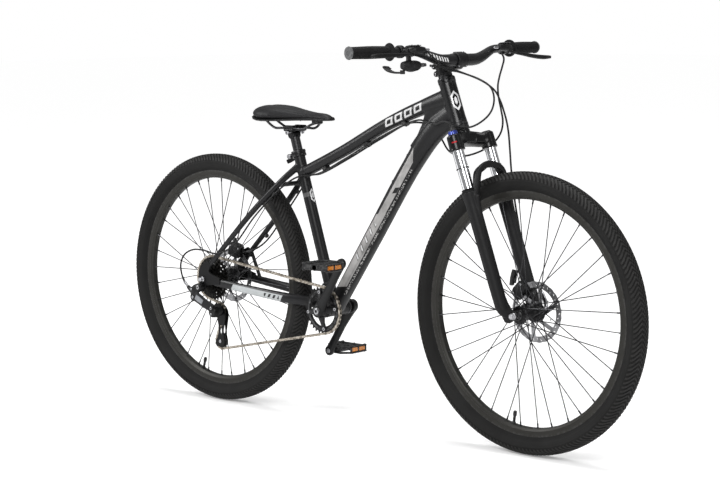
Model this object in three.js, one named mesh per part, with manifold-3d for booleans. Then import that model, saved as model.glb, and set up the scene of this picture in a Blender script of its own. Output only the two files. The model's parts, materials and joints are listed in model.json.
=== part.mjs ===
// Mountain bike: a 29 inch aluminium hardtail with a telescopic fork, disc brakes and one chainring.
// Millimetres. +X points forward, +Y to the rider's left, +Z up.
// The origin is on the ground, where the rear tyre touches it.
import * as THREE from "three";
import { mergeVertices } from "three/addons/utils/BufferGeometryUtils.js";
import Module from "manifold-3d";

const wasm = await Module();
wasm.setup();

// ---------- driving dimensions ----------
const WHEELBASE = 1154;
const WHEEL_RADIUS = 366;
const TYRE_WIDTH = 54;
const RIM_BED_RADIUS = 294;
const SPOKE_COUNT = 36;
const SPOKE_CROSS_ANGLE = THREE.MathUtils.degToRad(60);
const BOTTOM_BRACKET = vec(470, 0, 316);
const SEAT_ANGLE = THREE.MathUtils.degToRad(72.5);
const SEAT_TUBE_LENGTH = 455;
const HEAD_ANGLE = THREE.MathUtils.degToRad(70);
const HEAD_TUBE_BOTTOM = vec(930, 0, 837);
const HEAD_TUBE_LENGTH = 128;
const FORK_AXLE_DROP = 519; // from the head tube's lower end to the axle, along the steering axis
const FORK_AXLE_OFFSET = 49.4;
const LEG_OFFSET = 26; // how far the fork legs run ahead of the steering axis
const LEG_SPACING = 130;
const CRANK_LENGTH = 175;
const CRANK_ANGLE = THREE.MathUtils.degToRad(54);
const CHAIN_PITCH = 12.7;
const RING_TEETH = 32;
const COG_TEETH = [32, 28, 24, 21, 18, 15, 13, 11];
const COG_SPACING = 4.6;
const JOCKEY_TEETH = 11;
const RING_Y = -48.8;
const COG_Y = -30;
const ROTOR_RADIUS = 80;
const BAR_HALF_WIDTH = 370;
const STEM_LENGTH = 58;
const GAP = 0.3; // between neighbouring pieces
const WHEEL_SEGMENTS = 32;

// ---------- derived places ----------
const REAR_AXLE = vec(0, 0, WHEEL_RADIUS);
const CRANK_DIRECTION = vec(Math.cos(CRANK_ANGLE), 0, Math.sin(CRANK_ANGLE));
const SEAT_FRAME = tilted(BOTTOM_BRACKET, SEAT_ANGLE);
const STEER_FRAME = tilted(HEAD_TUBE_BOTTOM, HEAD_ANGLE);
const LEG_Y = LEG_SPACING / 2;
const BAR_CENTRE = vec(STEM_LENGTH, 0, HEAD_TUBE_LENGTH + 35.5).applyMatrix4(STEER_FRAME);
const RING_RADIUS = pitchRadius(RING_TEETH);
const JOCKEY_RADIUS = pitchRadius(JOCKEY_TEETH);
const CAGE_PIVOT = vec(38, 0, 271);
const UPPER_JOCKEY = vec(22, 0, 272.5);
const LOWER_JOCKEY = vec(33, 0, 181);

function vec(x, y, z) {
  return new THREE.Vector3(x, y, z);
}

// The placement whose +Z leans back from upright to the given angle above the ground.
function tilted(origin, angle) {
  return new THREE.Matrix4().makeRotationY(angle - Math.PI / 2).setPosition(origin);
}

function pitchRadius(teeth) {
  return CHAIN_PITCH / 2 / Math.sin(Math.PI / teeth);
}

// ---------- materials ----------
function material(color, roughness, metalness) {
  return new THREE.MeshStandardMaterial({ color, roughness, metalness });
}
const PAINT = material(0x2b2c2e, 0.45, 0.2);
const BLACK_ALLOY = material(0x17181a, 0.4, 0.6);
const BLACK_PLASTIC = material(0x1b1c1d, 0.6, 0);
const RUBBER = material(0x1a1a1b, 0.85, 0);
const STEEL = material(0xb6b8ba, 0.3, 1);
const CHROME = material(0xe0e2e4, 0.08, 1);
const DARK_STEEL = material(0x3d3b38, 0.4, 0.9);
const CHAIN_STEEL = material(0x7d756b, 0.4, 0.9);
const MAGNESIUM = material(0x202123, 0.55, 0.3);
const COVER = material(0x26272a, 0.7, 0);
const BLUE = material(0x2a3a9a, 0.4, 0.2);

// ---------- solids ----------
// A closed geometry as a solid with its faces turned outwards.
function solid(geometry) {
  const plain = geometry.index ? geometry.toNonIndexed() : geometry.clone();
  for (const name of Object.keys(plain.attributes)) {
    if (name !== "position") plain.deleteAttribute(name);
  }
  const merged = mergeVertices(plain, 1e-3);
  const corners = Array.from(merged.index.array);
  const kept = [];
  for (let i = 0; i < corners.length; i += 3) {
    const [a, b, c] = corners.slice(i, i + 3);
    if (a !== b && b !== c && c !== a) kept.push(a, b, c);
  }
  const make = (order) =>
    new wasm.Manifold(
      new wasm.Mesh({
        numProp: 3,
        vertProperties: merged.attributes.position.array,
        triVerts: Uint32Array.from(order),
      }),
    );
  const made = make(kept);
  return made.volume() < 0 ? make(kept.reverse()) : made;
}

function join(...solids) {
  return solids.flat().reduce((whole, piece) => whole.add(piece));
}

function cut(body, ...tools) {
  return tools.flat().reduce((whole, tool) => whole.subtract(tool), body);
}

// A named mesh of a solid, in the placement the solid was drawn in.
function piece(name, shape, surface, placement = new THREE.Matrix4()) {
  const { numProp, numVert, vertProperties, triVerts } = shape.getMesh();
  const positions = new Float32Array(numVert * 3);
  for (let i = 0; i < numVert; i++) {
    positions.set(vertProperties.subarray(i * numProp, i * numProp + 3), i * 3);
  }
  const geometry = new THREE.BufferGeometry();
  geometry.setAttribute("position", new THREE.BufferAttribute(positions, 3));
  geometry.setIndex(new THREE.BufferAttribute(triVerts, 1));
  geometry.computeVertexNormals();
  const mesh = new THREE.Mesh(geometry, surface);
  mesh.name = name;
  mesh.applyMatrix4(placement);
  return mesh;
}

// A round bar, or a cone, from one point to another.
function rod(from, to, radius, sides = 10, endRadius = radius) {
  const along = to.clone().sub(from);
  const geometry = new THREE.CylinderGeometry(endRadius, radius, along.length(), sides);
  const turn = new THREE.Quaternion().setFromUnitVectors(vec(0, 1, 0), along.clone().normalize());
  geometry.applyQuaternion(turn);
  geometry.translate(...from.clone().lerp(to, 0.5).toArray());
  return solid(geometry);
}

// A round bar along Y through a centre.
function pin(centre, yFrom, yTo, radius, sides = 12) {
  return rod(vec(centre.x, yFrom, centre.z), vec(centre.x, yTo, centre.z), radius, sides);
}

function block(low, high) {
  const size = high.clone().sub(low);
  const geometry = new THREE.BoxGeometry(size.x, size.y, size.z);
  geometry.translate(...low.clone().lerp(high, 0.5).toArray());
  return solid(geometry);
}

// A ring or disc turned about the Y axis: the closed profile lists [radius, y] pairs.
function turned(profile, centre, segments = 16, phase = 0) {
  const outline = [...profile, profile[0]].map(([radius, y]) => new THREE.Vector2(radius, y));
  const geometry = new THREE.LatheGeometry(outline, segments, phase);
  geometry.translate(centre.x, centre.y, centre.z);
  return solid(geometry);
}

// The same, turned about the Z axis: the profile lists [radius, z] pairs.
function turnedUpright(profile, segments = 16) {
  const outline = [...profile, profile[0]].map(([radius, z]) => new THREE.Vector2(radius, z));
  return solid(new THREE.LatheGeometry(outline, segments).rotateX(Math.PI / 2));
}

// A flat plate in the XZ plane, between two Y values.
function plate(outline, yLow, yHigh, holes = []) {
  const shape = new THREE.Shape(outline.map(([x, z]) => new THREE.Vector2(x, z)));
  for (const hole of holes) {
    shape.holes.push(new THREE.Path(hole.map(([x, z]) => new THREE.Vector2(x, z))));
  }
  const settings = { depth: yHigh - yLow, bevelEnabled: false };
  const geometry = new THREE.ExtrudeGeometry(shape, settings);
  return solid(geometry.rotateX(Math.PI / 2).translate(0, yHigh, 0));
}

function circleOutline(centre, radius, count, from = 0, to = 2 * Math.PI) {
  const closed = to - from >= 2 * Math.PI;
  const steps = closed ? count : count - 1;
  return Array.from({ length: count }, (_, i) => {
    const angle = from + ((to - from) * i) / steps;
    return [centre.x + radius * Math.cos(angle), centre.z + radius * Math.sin(angle)];
  });
}

// A hose or wire of constant thickness through the given points.
function hose(points, radius, steps, sides = 2) {
  const section = new THREE.Shape().absarc(0, 0, radius, 0, 2 * Math.PI);
  const extrudePath = new THREE.CatmullRomCurve3(points, false, "centripetal");
  const settings = { steps, curveSegments: sides, bevelEnabled: false, extrudePath };
  return solid(new THREE.ExtrudeGeometry(section, settings));
}

// A tube whose oval section changes along a curve; sizes lists [width, height] at each point,
// and width is measured along the "across" direction.
function tapered(points, sizes, { steps = points.length - 1, sides = 12, across = vec(0, 1, 0) } = {}) {
  const path = new THREE.CatmullRomCurve3(points, false, "centripetal");
  const positions = [];
  for (let i = 0; i <= steps; i++) {
    const t = i / steps;
    const centre = path.getPoint(t);
    const tangent = path.getTangent(t);
    const wide = across.clone().addScaledVector(tangent, -across.dot(tangent)).normalize();
    const high = new THREE.Vector3().crossVectors(tangent, wide);
    const station = Math.min(Math.floor(t * (sizes.length - 1)), sizes.length - 2);
    const blend = t * (sizes.length - 1) - station;
    const [width, height] = [0, 1].map(
      (k) => sizes[station][k] * (1 - blend) + sizes[station + 1][k] * blend,
    );
    for (let j = 0; j < sides; j++) {
      const angle = (2 * Math.PI * j) / sides;
      const point = centre.clone();
      point.addScaledVector(wide, (width / 2) * Math.cos(angle));
      point.addScaledVector(high, (height / 2) * Math.sin(angle));
      positions.push(...point.toArray());
    }
  }
  const first = positions.length / 3;
  positions.push(...points[0].toArray(), ...points.at(-1).toArray());
  const faces = [];
  for (let j = 0; j < sides; j++) {
    const next = (j + 1) % sides;
    for (let i = 0; i < steps; i++) {
      const [a, b] = [i * sides + j, i * sides + next];
      faces.push(a, b, b + sides, a, b + sides, a + sides);
    }
    faces.push(first, next, j);
    faces.push(first + 1, steps * sides + j, steps * sides + next);
  }
  const geometry = new THREE.BufferGeometry();
  geometry.setAttribute("position", new THREE.Float32BufferAttribute(positions, 3));
  geometry.setIndex(faces);
  return solid(geometry);
}

function mirrored(points) {
  return points.map((point) => vec(point.x, -point.y, point.z));
}

// ---------- frame ----------
const TUBE_WALL = 2;
const SEAT_TUBE_RADIUS = 16;
const SEAT_BORE_RADIUS = 14;
const HEAD_TUBE_RADIUS = 23;
const HEAD_BORE_RADIUS = 18;
const SHELL_RADIUS = 21;
const SHELL_BORE_RADIUS = 17.5;
const SHELL_HALF_WIDTH = 36.5;
const GUSSET_HALF_WIDTH = 16;
const DROPOUT_INNER = 67.5;
const DROPOUT_OUTER = 73.5;
const HANGER_BOLT = vec(-2, 0, 344);

const TOP_TUBE = {
  points: [vec(352, 0, 690), vec(511, 0, 758), vec(680, 0, 838), vec(800, 0, 883), vec(900, 0, 912)],
  sizes: [[32, 32], [34, 32], [36, 34], [38, 40], [38, 56]],
};
const DOWN_TUBE = {
  points: [vec(474, 0, 322), vec(620, 0, 528), vec(760, 0, 725), vec(846, 0, 826), vec(914, 0, 872)],
  sizes: [[44, 44], [46, 48], [46, 50], [44, 62], [40, 66]],
};

function thinner(tube) {
  return {
    points: tube.points,
    sizes: tube.sizes.map(([width, height]) => [width - 2 * TUBE_WALL, height - 2 * TUBE_WALL]),
  };
}

function seatPoint(distance, y = 0, ahead = 0) {
  return vec(ahead, y, distance).applyMatrix4(SEAT_FRAME);
}

function steerPoint(ahead, y, height) {
  return vec(ahead, y, height).applyMatrix4(STEER_FRAME);
}

function stays() {
  const seatstay = [vec(340, 10, 708), vec(300, 40, 664), vec(209, 60, 580), vec(20, 69, 402)];
  const chainstay = [vec(462, 20, 322), vec(404, 31, 332), vec(330, 50, 338), vec(46, 69, 362)];
  const seatstaySizes = [[18, 20], [16, 18], [15, 17], [8, 16]];
  const chainstaySizes = [[20, 32], [16, 30], [18, 30], [8, 24]];
  const parts = [];
  for (const fold of [(points) => points, mirrored]) {
    parts.push(tapered(fold(seatstay), seatstaySizes, { sides: 8, steps: 5 }));
    parts.push(tapered(fold(chainstay), chainstaySizes, { sides: 8, steps: 5 }));
  }
  parts.push(rod(vec(292, -44, 656), vec(292, 44, 656), 7, 8));
  parts.push(rod(vec(396, -32, 333), vec(396, 32, 333), 8, 8));
  return parts;
}

// The web that closes the corner between the top tube, the down tube and the head tube.
function headGusset() {
  const outline = [[768, 782], [795, 812], [812, 842], [824, 874], [880, 896], [905, 880], [850, 800]];
  return plate(outline, -GUSSET_HALF_WIDTH, GUSSET_HALF_WIDTH);
}

function dropouts() {
  const outline = [
    [-14, 356], [-16, 372], [-12, 392], [4, 410], [24, 420], [34, 406],
    [28, 390], [44, 382], [74, 374], [70, 354], [24, 350], [10, 350],
  ];
  const hanger = [[8, 336], [1, 329], [-11, 332], [-16, 346]];
  const axleHole = (y) => pin(REAR_AXLE, y - 10, y + 10, 5.4, 12);
  const right = plate([...outline, ...hanger], -DROPOUT_OUTER, -DROPOUT_INNER);
  const left = plate(outline, DROPOUT_INNER, DROPOUT_OUTER);
  const brace = rod(vec(96, 68, 366), vec(62, 69, 438), 5, 8);
  return join(cut(right, axleHole(-70)), cut(left, axleHole(70)), brace);
}

function frameShape() {
  const headTube = rod(steerPoint(0, 0, 0), steerPoint(0, 0, HEAD_TUBE_LENGTH), HEAD_TUBE_RADIUS, 18);
  const seatTube = rod(seatPoint(0), seatPoint(SEAT_TUBE_LENGTH), SEAT_TUBE_RADIUS, 14);
  const shell = pin(BOTTOM_BRACKET, -SHELL_HALF_WIDTH, SHELL_HALF_WIDTH, SHELL_RADIUS, 16);
  const shellPad = block(vec(452, -12, 292), vec(488, 12, 300));
  const mainTubes = [TOP_TUBE, DOWN_TUBE];
  const tubes = mainTubes.map(({ points, sizes }) => tapered(points, sizes, { steps: 6, sides: 10 }));
  const voids = mainTubes.map(thinner);
  const hollows = voids.map(({ points, sizes }) => tapered(points, sizes, { steps: 4, sides: 6 }));
  const bottleBosses = [0.42, 0.53].map((share) => {
    const path = new THREE.CatmullRomCurve3(DOWN_TUBE.points, false, "centripetal");
    const place = path.getPoint(share);
    const out = vec(-0.81, 0, 0.586);
    return rod(place.clone().addScaledVector(out, 20), place.clone().addScaledVector(out, 28), 7, 10);
  });
  const body = join(headTube, seatTube, shell, shellPad, tubes, headGusset(), stays(), bottleBosses);
  const bores = [
    rod(steerPoint(0, 0, -5), steerPoint(0, 0, HEAD_TUBE_LENGTH + 5), HEAD_BORE_RADIUS, 14),
    rod(seatPoint(0), seatPoint(SEAT_TUBE_LENGTH + 5), SEAT_BORE_RADIUS, 14),
    pin(BOTTOM_BRACKET, -SHELL_HALF_WIDTH - 5, SHELL_HALF_WIDTH + 5, SHELL_BORE_RADIUS, 14),
  ];
  return join(cut(body, hollows, bores), dropouts());
}

function seatClamp() {
  const low = SEAT_TUBE_LENGTH - 15;
  const collar = turnedUpright([
    [SEAT_TUBE_RADIUS + 0.8, low],
    [SEAT_TUBE_RADIUS + 4.5, low],
    [SEAT_TUBE_RADIUS + 4.5, low + 17],
    [SEAT_BORE_RADIUS + 0.8, low + 17],
    [SEAT_BORE_RADIUS + 0.8, low + 15 + GAP],
    [SEAT_TUBE_RADIUS + 0.8, low + 15 + GAP],
  ]);
  const ears = cut(block(vec(-32, -11, low + 2), vec(-17, 11, low + 14)),
    block(vec(-33, -1.5, low), vec(-15, 1.5, low + 16)));
  const slot = block(vec(-22, -1.5, low - 1), vec(-12, 1.5, low + 20));
  const bolt = rod(vec(-26, -9, low + 8), vec(-26, 9, low + 8), 3, 8);
  return join(cut(join(collar, cut(ears, rod(vec(0, 0, low), vec(0, 0, low + 20), 18, 20))), slot), bolt);
}

// A cam lever: a round cam on the skewer's axis line with a flat handle swept away from it.
function camLever(pivot, handle, across, radius = 7) {
  const axis = across.clone().multiplyScalar(8);
  const cam = rod(pivot.clone().sub(axis), pivot.clone().add(axis), radius, 12);
  return join(cam, tapered([pivot, ...handle], [[11, 8], [13, 6], [11, 5]], { steps: 4, sides: 8, across }));
}

// ---------- seat ----------
const POST_HEAD_HEIGHT = 504;
const POST_RADIUS = 13.6;
const POST_BOTTOM = 215;
const HEAD_PIVOT_RADIUS = 12;
const RAIL_RADIUS = 3.5;
const RAIL_SPACING = 44;
const RAIL_Z = 816;

function seatpostShape() {
  const tube = rod(vec(0, 0, POST_BOTTOM), vec(0, 0, POST_HEAD_HEIGHT), POST_RADIUS, 14);
  const head = rod(vec(0, -15, POST_HEAD_HEIGHT), vec(0, 15, POST_HEAD_HEIGHT), HEAD_PIVOT_RADIUS, 14);
  const bore = rod(vec(0, 0, POST_BOTTOM - 5), vec(0, 0, POST_HEAD_HEIGHT - 25), POST_RADIUS - 2.5, 10);
  return join(cut(tube, bore), head);
}

function saddleClampShape() {
  const centre = seatPoint(POST_HEAD_HEIGHT);
  const body = block(vec(centre.x - 18, -29, RAIL_Z - 12), vec(centre.x + 24, 29, RAIL_Z + 8));
  const seat = pin(centre, -40, 40, HEAD_PIVOT_RADIUS + 0.7, 16);
  const channels = [-1, 1].map((side) =>
    rod(
      vec(centre.x - 60, (side * RAIL_SPACING) / 2, RAIL_Z),
      vec(centre.x + 60, (side * RAIL_SPACING) / 2, RAIL_Z),
      RAIL_RADIUS + 1,
      10,
    ),
  );
  return cut(body, seat, channels);
}

const SADDLE = {
  points: [187, 215, 255, 300, 350, 405, 450, 467].map((x) => vec(x, 0, 0)),
  widths: [70, 128, 148, 128, 86, 54, 42, 26],
  tops: [873, 878, 879, 874, 867, 861, 857, 850],
  bottoms: [846, 838, 835, 836, 838, 838, 838, 841],
};

// The padded body, or the shell under it, each a slice of the saddle's full section.
function saddleSlice(low, high) {
  const points = SADDLE.points.map(({ x }, i) => vec(x, 0, (low(i) + high(i)) / 2));
  const sizes = SADDLE.widths.map((width, i) => [width, high(i) - low(i)]);
  return tapered(points, sizes, { sides: 14, steps: 9 });
}

function saddleCover() {
  const bottom = (i) => SADDLE.bottoms[i] - 8;
  return cut(saddleSlice(bottom, (i) => SADDLE.tops[i]), block(vec(150, -90, 800), vec(500, 90, 850)));
}

function saddleShell() {
  const bottom = (i) => SADDLE.bottoms[i];
  const slice = saddleSlice(bottom, (i) => SADDLE.tops[i]);
  const hollow = block(vec(200, -24, 820), vec(425, 24, 845));
  const kept = cut(slice, block(vec(150, -90, 850 - 0.6), vec(500, 90, 900)));
  return cut(kept, hollow);
}

function railsShape() {
  const half = [
    vec(222, 19, 838), vec(242, 21, 826), vec(264, RAIL_SPACING / 2, RAIL_Z),
    vec(290, RAIL_SPACING / 2, RAIL_Z), vec(350, RAIL_SPACING / 2, RAIL_Z),
    vec(378, RAIL_SPACING / 2, RAIL_Z), vec(402, 16, 828),
  ];
  return hose([...half, vec(412, 0, 833), ...mirrored(half).reverse()], RAIL_RADIUS, 28, 3);
}

// ---------- cranks and pedals ----------
const ARM_INNER = 74;
const SPINDLE_RADIUS = 12;
const BOLT_CIRCLE_RADIUS = 52;

function onCrank(distance, y) {
  return BOTTOM_BRACKET.clone().addScaledVector(CRANK_DIRECTION, distance).setY(y);
}

// A crank arm from the spindle to the pedal; side is -1 on the right, where the arm points forward.
function crankArm(side) {
  const reach = -side * CRANK_LENGTH;
  const start = onCrank(0, side * 67);
  const mid = onCrank(reach * 0.5, side * 72);
  const end = onCrank(reach, side * 81);
  const arm = tapered([start, mid, end], [[16, 36], [13, 27], [13, 27]], { sides: 10, steps: 3 });
  const boss = pin(start, side * 58, side * 76, 19, 14);
  const eye = pin(end, side * ARM_INNER, side * 88, 14);
  const thread = pin(end, side * 60, side * 100, 7.3, 10);
  return cut(join(arm, boss, eye), thread);
}

function rightCrank() {
  const spindle = pin(BOTTOM_BRACKET, -70, 78, SPINDLE_RADIUS, 14);
  const spider = [0, 1, 2, 3].map((i) => {
    const angle = CRANK_ANGLE + Math.PI / 4 + (i * Math.PI) / 2;
    const tip = BOTTOM_BRACKET.clone().add(vec(Math.cos(angle), 0, Math.sin(angle)).multiplyScalar(57));
    return tapered(
      [BOTTOM_BRACKET.clone().setY(-62), tip.setY(-54)],
      [[10, 26], [7, 14]],
      { steps: 1, sides: 6 },
    );
  });
  const bore = pin(BOTTOM_BRACKET, -90, 90, SPINDLE_RADIUS - 3.5, 10);
  return cut(join(crankArm(-1), spindle, spider), bore);
}

function leftCrank() {
  return cut(crankArm(1), pin(BOTTOM_BRACKET, 50, 90, SPINDLE_RADIUS + GAP, 14));
}

// The outline of a toothed wheel, with tip circle and root circle about the pitch circle.
function toothOutline(centre, teeth, phase = 0) {
  const pitch = pitchRadius(teeth);
  const step = (2 * Math.PI) / teeth;
  const tooth = [[0, 3.4], [0.5, -3.9]];
  return Array.from({ length: teeth }, (_, i) =>
    tooth.map(([share, rise]) => {
      const angle = phase + (i + share) * step;
      const radius = pitch + rise;
      return [centre.x + radius * Math.cos(angle), centre.z + radius * Math.sin(angle)];
    }),
  ).flat();
}

function chainringShape() {
  const hole = circleOutline(BOTTOM_BRACKET, BOLT_CIRCLE_RADIUS - 6, 20);
  return plate(toothOutline(BOTTOM_BRACKET, RING_TEETH), RING_Y - 1, RING_Y + 1, [hole]);
}

const PEDAL_INNER = 95;
const PEDAL_OUTER = 186;

function pedalAxle(side) {
  const end = onCrank(-side * CRANK_LENGTH, 0);
  const thread = pin(end, side * 73.6, side * 89, 6.9, 12);
  const collar = pin(end, side * 88.4, side * 93, 8.5, 12);
  return join(thread, collar, pin(end, side * 90, side * (PEDAL_OUTER - 6), 4.5, 10));
}

function pedalBody(side) {
  const end = onCrank(-side * CRANK_LENGTH, 0);
  const low = vec(end.x - 48, Math.min(side * PEDAL_INNER, side * PEDAL_OUTER), end.z - 11);
  const high = vec(end.x + 48, Math.max(side * PEDAL_INNER, side * PEDAL_OUTER), end.z + 11);
  const windows = [-1, 1].map((way) => {
    const inner = Math.min(way * 12, way * 38);
    const outer = Math.max(way * 12, way * 38);
    return block(vec(end.x + inner, low.y + 9, low.z - 5), vec(end.x + outer, high.y - 9, high.z + 5));
  });
  return cut(block(low, high), windows, pin(end, side * 80, side * 200, 5.2, 12));
}

// ---------- chain drive ----------
const PLATE_INNER = 2.6;
const PLATE_OUTER = 3.6;
const PLATE_HALF_HEIGHT = 4;

// The closed loop that a belt takes round wheels given as {centre, radius, turn}; turn is -1 where
// the loop runs clockwise, with +X to the right and +Z up.
function loopOutline(wheels, offset) {
  const signed = wheels.map(({ radius, turn }) => turn * radius - offset);
  const spans = wheels.map((wheel, i) => {
    const next = wheels[(i + 1) % wheels.length];
    const gap = next.centre.clone().sub(wheel.centre);
    const distance = Math.hypot(gap.x, gap.z);
    const change = signed[(i + 1) % wheels.length] - signed[i];
    return Math.atan2(gap.z, gap.x) - Math.asin(change / distance);
  });
  return wheels.flatMap((wheel, i) => {
    const normal = (heading) => heading - Math.PI / 2;
    const arriving = normal(spans[(i + wheels.length - 1) % wheels.length]);
    let sweep = normal(spans[i]) - arriving;
    while (wheel.turn * sweep < 0) sweep += wheel.turn * 2 * Math.PI;
    const steps = Math.max(3, Math.round(Math.abs(sweep) / 0.35));
    return Array.from({ length: steps + 1 }, (_, k) => {
      const angle = arriving + (sweep * k) / steps;
      return [
        wheel.centre.x + signed[i] * Math.cos(angle),
        wheel.centre.z + signed[i] * Math.sin(angle),
      ];
    });
  });
}

const CHAIN_WHEELS = [
  { centre: BOTTOM_BRACKET, radius: RING_RADIUS, turn: -1 },
  { centre: LOWER_JOCKEY, radius: JOCKEY_RADIUS, turn: -1 },
  { centre: UPPER_JOCKEY, radius: JOCKEY_RADIUS, turn: 1 },
  { centre: REAR_AXLE, radius: pitchRadius(COG_TEETH[0]), turn: -1 },
];

// The chain's middle plane on the wheel nearest to a given X; the straight runs lead across.
function chainY(x) {
  return x > BOTTOM_BRACKET.x / 2 ? RING_Y : COG_Y;
}

function chainBand(side) {
  const outer = loopOutline(CHAIN_WHEELS, PLATE_HALF_HEIGHT).reverse();
  const inner = loopOutline(CHAIN_WHEELS, -PLATE_HALF_HEIGHT);
  const toPoints = (outline) => outline.map(([x, z]) => new THREE.Vector2(x, z));
  const shape = new THREE.Shape(toPoints(outer));
  shape.holes.push(new THREE.Path(toPoints(inner)));
  const settings = { depth: PLATE_OUTER - PLATE_INNER, bevelEnabled: false };
  const geometry = new THREE.ExtrudeGeometry(shape, settings).rotateX(Math.PI / 2);
  geometry.translate(0, side > 0 ? PLATE_OUTER : -PLATE_INNER, 0);
  const places = geometry.attributes.position;
  for (let i = 0; i < places.count; i++) places.setY(i, places.getY(i) + chainY(places.getX(i)));
  return solid(geometry);
}

// Two runs of side plates held apart by rollers on the free spans.
function chainShape() {
  const cogTop = REAR_AXLE.z + pitchRadius(COG_TEETH[0]);
  const ringTop = BOTTOM_BRACKET.z + RING_RADIUS;
  const rollers = [0.3, 0.7].map((share) => {
    const x = THREE.MathUtils.lerp(REAR_AXLE.x, BOTTOM_BRACKET.x, share);
    const z = THREE.MathUtils.lerp(cogTop, ringTop, share);
    const y = THREE.MathUtils.lerp(COG_Y, RING_Y, share);
    return rod(vec(x, y - 3, z), vec(x, y + 3, z), 3, 8);
  });
  return join(chainBand(-1), chainBand(1), rollers);
}

function cassetteShape() {
  const [largest, ...smaller] = COG_TEETH;
  const steps = smaller.flatMap((teeth, i) => {
    const y = COG_Y - (i + 1) * COG_SPACING;
    const end = i === smaller.length - 1 ? y - 0.9 : y - COG_SPACING + 0.9;
    return [[pitchRadius(teeth) - 2, y + 0.9], [pitchRadius(teeth) - 2, end]];
  });
  const last = steps.at(-1)[1];
  const profile = [[9, COG_Y + 4], [17, COG_Y + 4], [17, steps[0][1]], ...steps, [9, last]];
  const stack = turned(profile, REAR_AXLE, 14);
  const front = plate(toothOutline(REAR_AXLE, largest), COG_Y - 0.9, COG_Y + 0.9);
  return join(stack, cut(front, pin(REAR_AXLE, -80, 0, 12)));
}

// ---------- rear derailleur ----------
const CAGE_HALF_GAP = 5.3;
const CAGE_PLATE = 2;

function jockey(centre) {
  const wheel = plate(toothOutline(centre, JOCKEY_TEETH), COG_Y - 1, COG_Y + 1);
  const hub = pin(centre, COG_Y - 4.5, COG_Y + 4.5, 7, 8);
  return cut(join(wheel, hub), pin(centre, COG_Y - 9, COG_Y + 9, 3.4, 8));
}

function cageShape() {
  const outline = [
    [6, 284], [20, 292], [45, 287], [56, 264], [53, 231], [47, 204], [51, 186],
    [45, 167], [19, 165], [11, 173], [18, 190], [26, 205], [27, 232], [18, 258],
  ];
  const outerFace = COG_Y - CAGE_HALF_GAP;
  const innerFace = COG_Y + CAGE_HALF_GAP;
  const plates = [
    plate(outline, outerFace - CAGE_PLATE, outerFace),
    plate(outline, innerFace, innerFace + CAGE_PLATE),
  ];
  const bolts = [UPPER_JOCKEY, LOWER_JOCKEY].map((centre) => pin(centre, outerFace - 2, innerFace + 2, 3, 8));
  return join(plates, bolts, pin(CAGE_PIVOT, outerFace - 8, outerFace, 9, 14));
}

function derailleurShape() {
  const knuckleY = -84;
  const hangerBolt = pin(HANGER_BOLT, -DROPOUT_OUTER - GAP, -92, 8, 12);
  const upper = tapered(
    [vec(HANGER_BOLT.x, knuckleY, HANGER_BOLT.z), vec(-23, knuckleY, 331), vec(-22, -83, 314)],
    [[14, 24], [16, 26], [16, 24]],
    { steps: 3, sides: 10 },
  );
  const link = tapered(
    [vec(-22, -83, 318), vec(10, -78, 305), vec(39, -65, 281)],
    [[18, 34], [18, 34], [20, 30]],
    { steps: 3, sides: 10 },
  );
  const lower = pin(CAGE_PIVOT, -70, COG_Y - CAGE_HALF_GAP - 8 - GAP, 14, 16);
  return join(hangerBolt, upper, link, lower);
}

// ---------- wheels ----------
const TYRE_CORNER_RADIUS = WHEEL_RADIUS / Math.cos(Math.PI / WHEEL_SEGMENTS);
const HALF_FACET = Math.PI / WHEEL_SEGMENTS;

function wheelRing(halfProfile, centre) {
  const left = halfProfile.map(([radius, y]) => [radius, -y]).reverse();
  return turned([...halfProfile, ...left], centre, WHEEL_SEGMENTS, HALF_FACET);
}

function tyreShape(centre) {
  const half = TYRE_WIDTH / 2;
  return wheelRing(
    [
      [361, 7], [346, 23.5], [313, 7.2], [313, 9.8],
      [318, 11], [328, half - 3], [345, half], [360, 19], [TYRE_CORNER_RADIUS, 7],
    ].reverse(),
    centre,
  );
}

function rimShape(centre) {
  return wheelRing(
    [[RIM_BED_RADIUS, 6], [301, 12.4], [317, 12.4], [309, 10.2]],
    centre,
  );
}

// Spokes cross from the two hub flanges to the rim, and a thin band at the nipples joins them.
function spokesShape(centre, rightFlangeY, leftFlangeY, flangeRadius) {
  const bandOuter = RIM_BED_RADIUS - 1;
  const band = wheelRing([[bandOuter - 2, 4], [bandOuter, 4]], centre);
  const spokes = [];
  for (let i = 0; i < SPOKE_COUNT; i++) {
    const left = i % 2;
    const index = Math.floor(i / 2);
    const hubAngle = (2 * Math.PI * (index + left / 2)) / (SPOKE_COUNT / 2);
    const rimAngle = hubAngle + (index % 2 ? -1 : 1) * SPOKE_CROSS_ANGLE;
    const weave = index % 2 ? 1.3 : -1.3;
    const y = (left ? leftFlangeY : rightFlangeY) + weave;
    const inner = centre.clone().add(polar(hubAngle, flangeRadius + 1.5, y));
    const outer = centre.clone().add(polar(rimAngle, bandOuter - 1, (left ? 1.5 : -1.5) + weave));
    spokes.push(rod(inner, outer, 1.1, 3));
  }
  return join(band, spokes);
}

function polar(angle, radius, y) {
  return vec(radius * Math.cos(angle), y, radius * Math.sin(angle));
}

const FLANGE_RADIUS = 24;
const FRONT_FLANGES = [-33, 23];
const REAR_FLANGES = [-21, 33];

function hubShape(centre, [rightFlange, leftFlange], rightEnd, leftEnd, rotorY) {
  const profile = [
    [8, rightEnd], [14, rightEnd], [15, rightFlange - 3], [FLANGE_RADIUS, rightFlange - 1.5],
    [FLANGE_RADIUS, rightFlange + 1.5], [14, rightFlange + 5], [13, leftFlange - 6],
    [FLANGE_RADIUS, leftFlange - 1.5], [FLANGE_RADIUS, leftFlange + 1.5], [17, leftFlange + 3],
    [22, rotorY - 3], [22, rotorY - 1 - GAP], [16, rotorY - 1 - GAP], [16, leftEnd], [8, leftEnd],
  ];
  return turned(profile, centre, 14);
}

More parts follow.
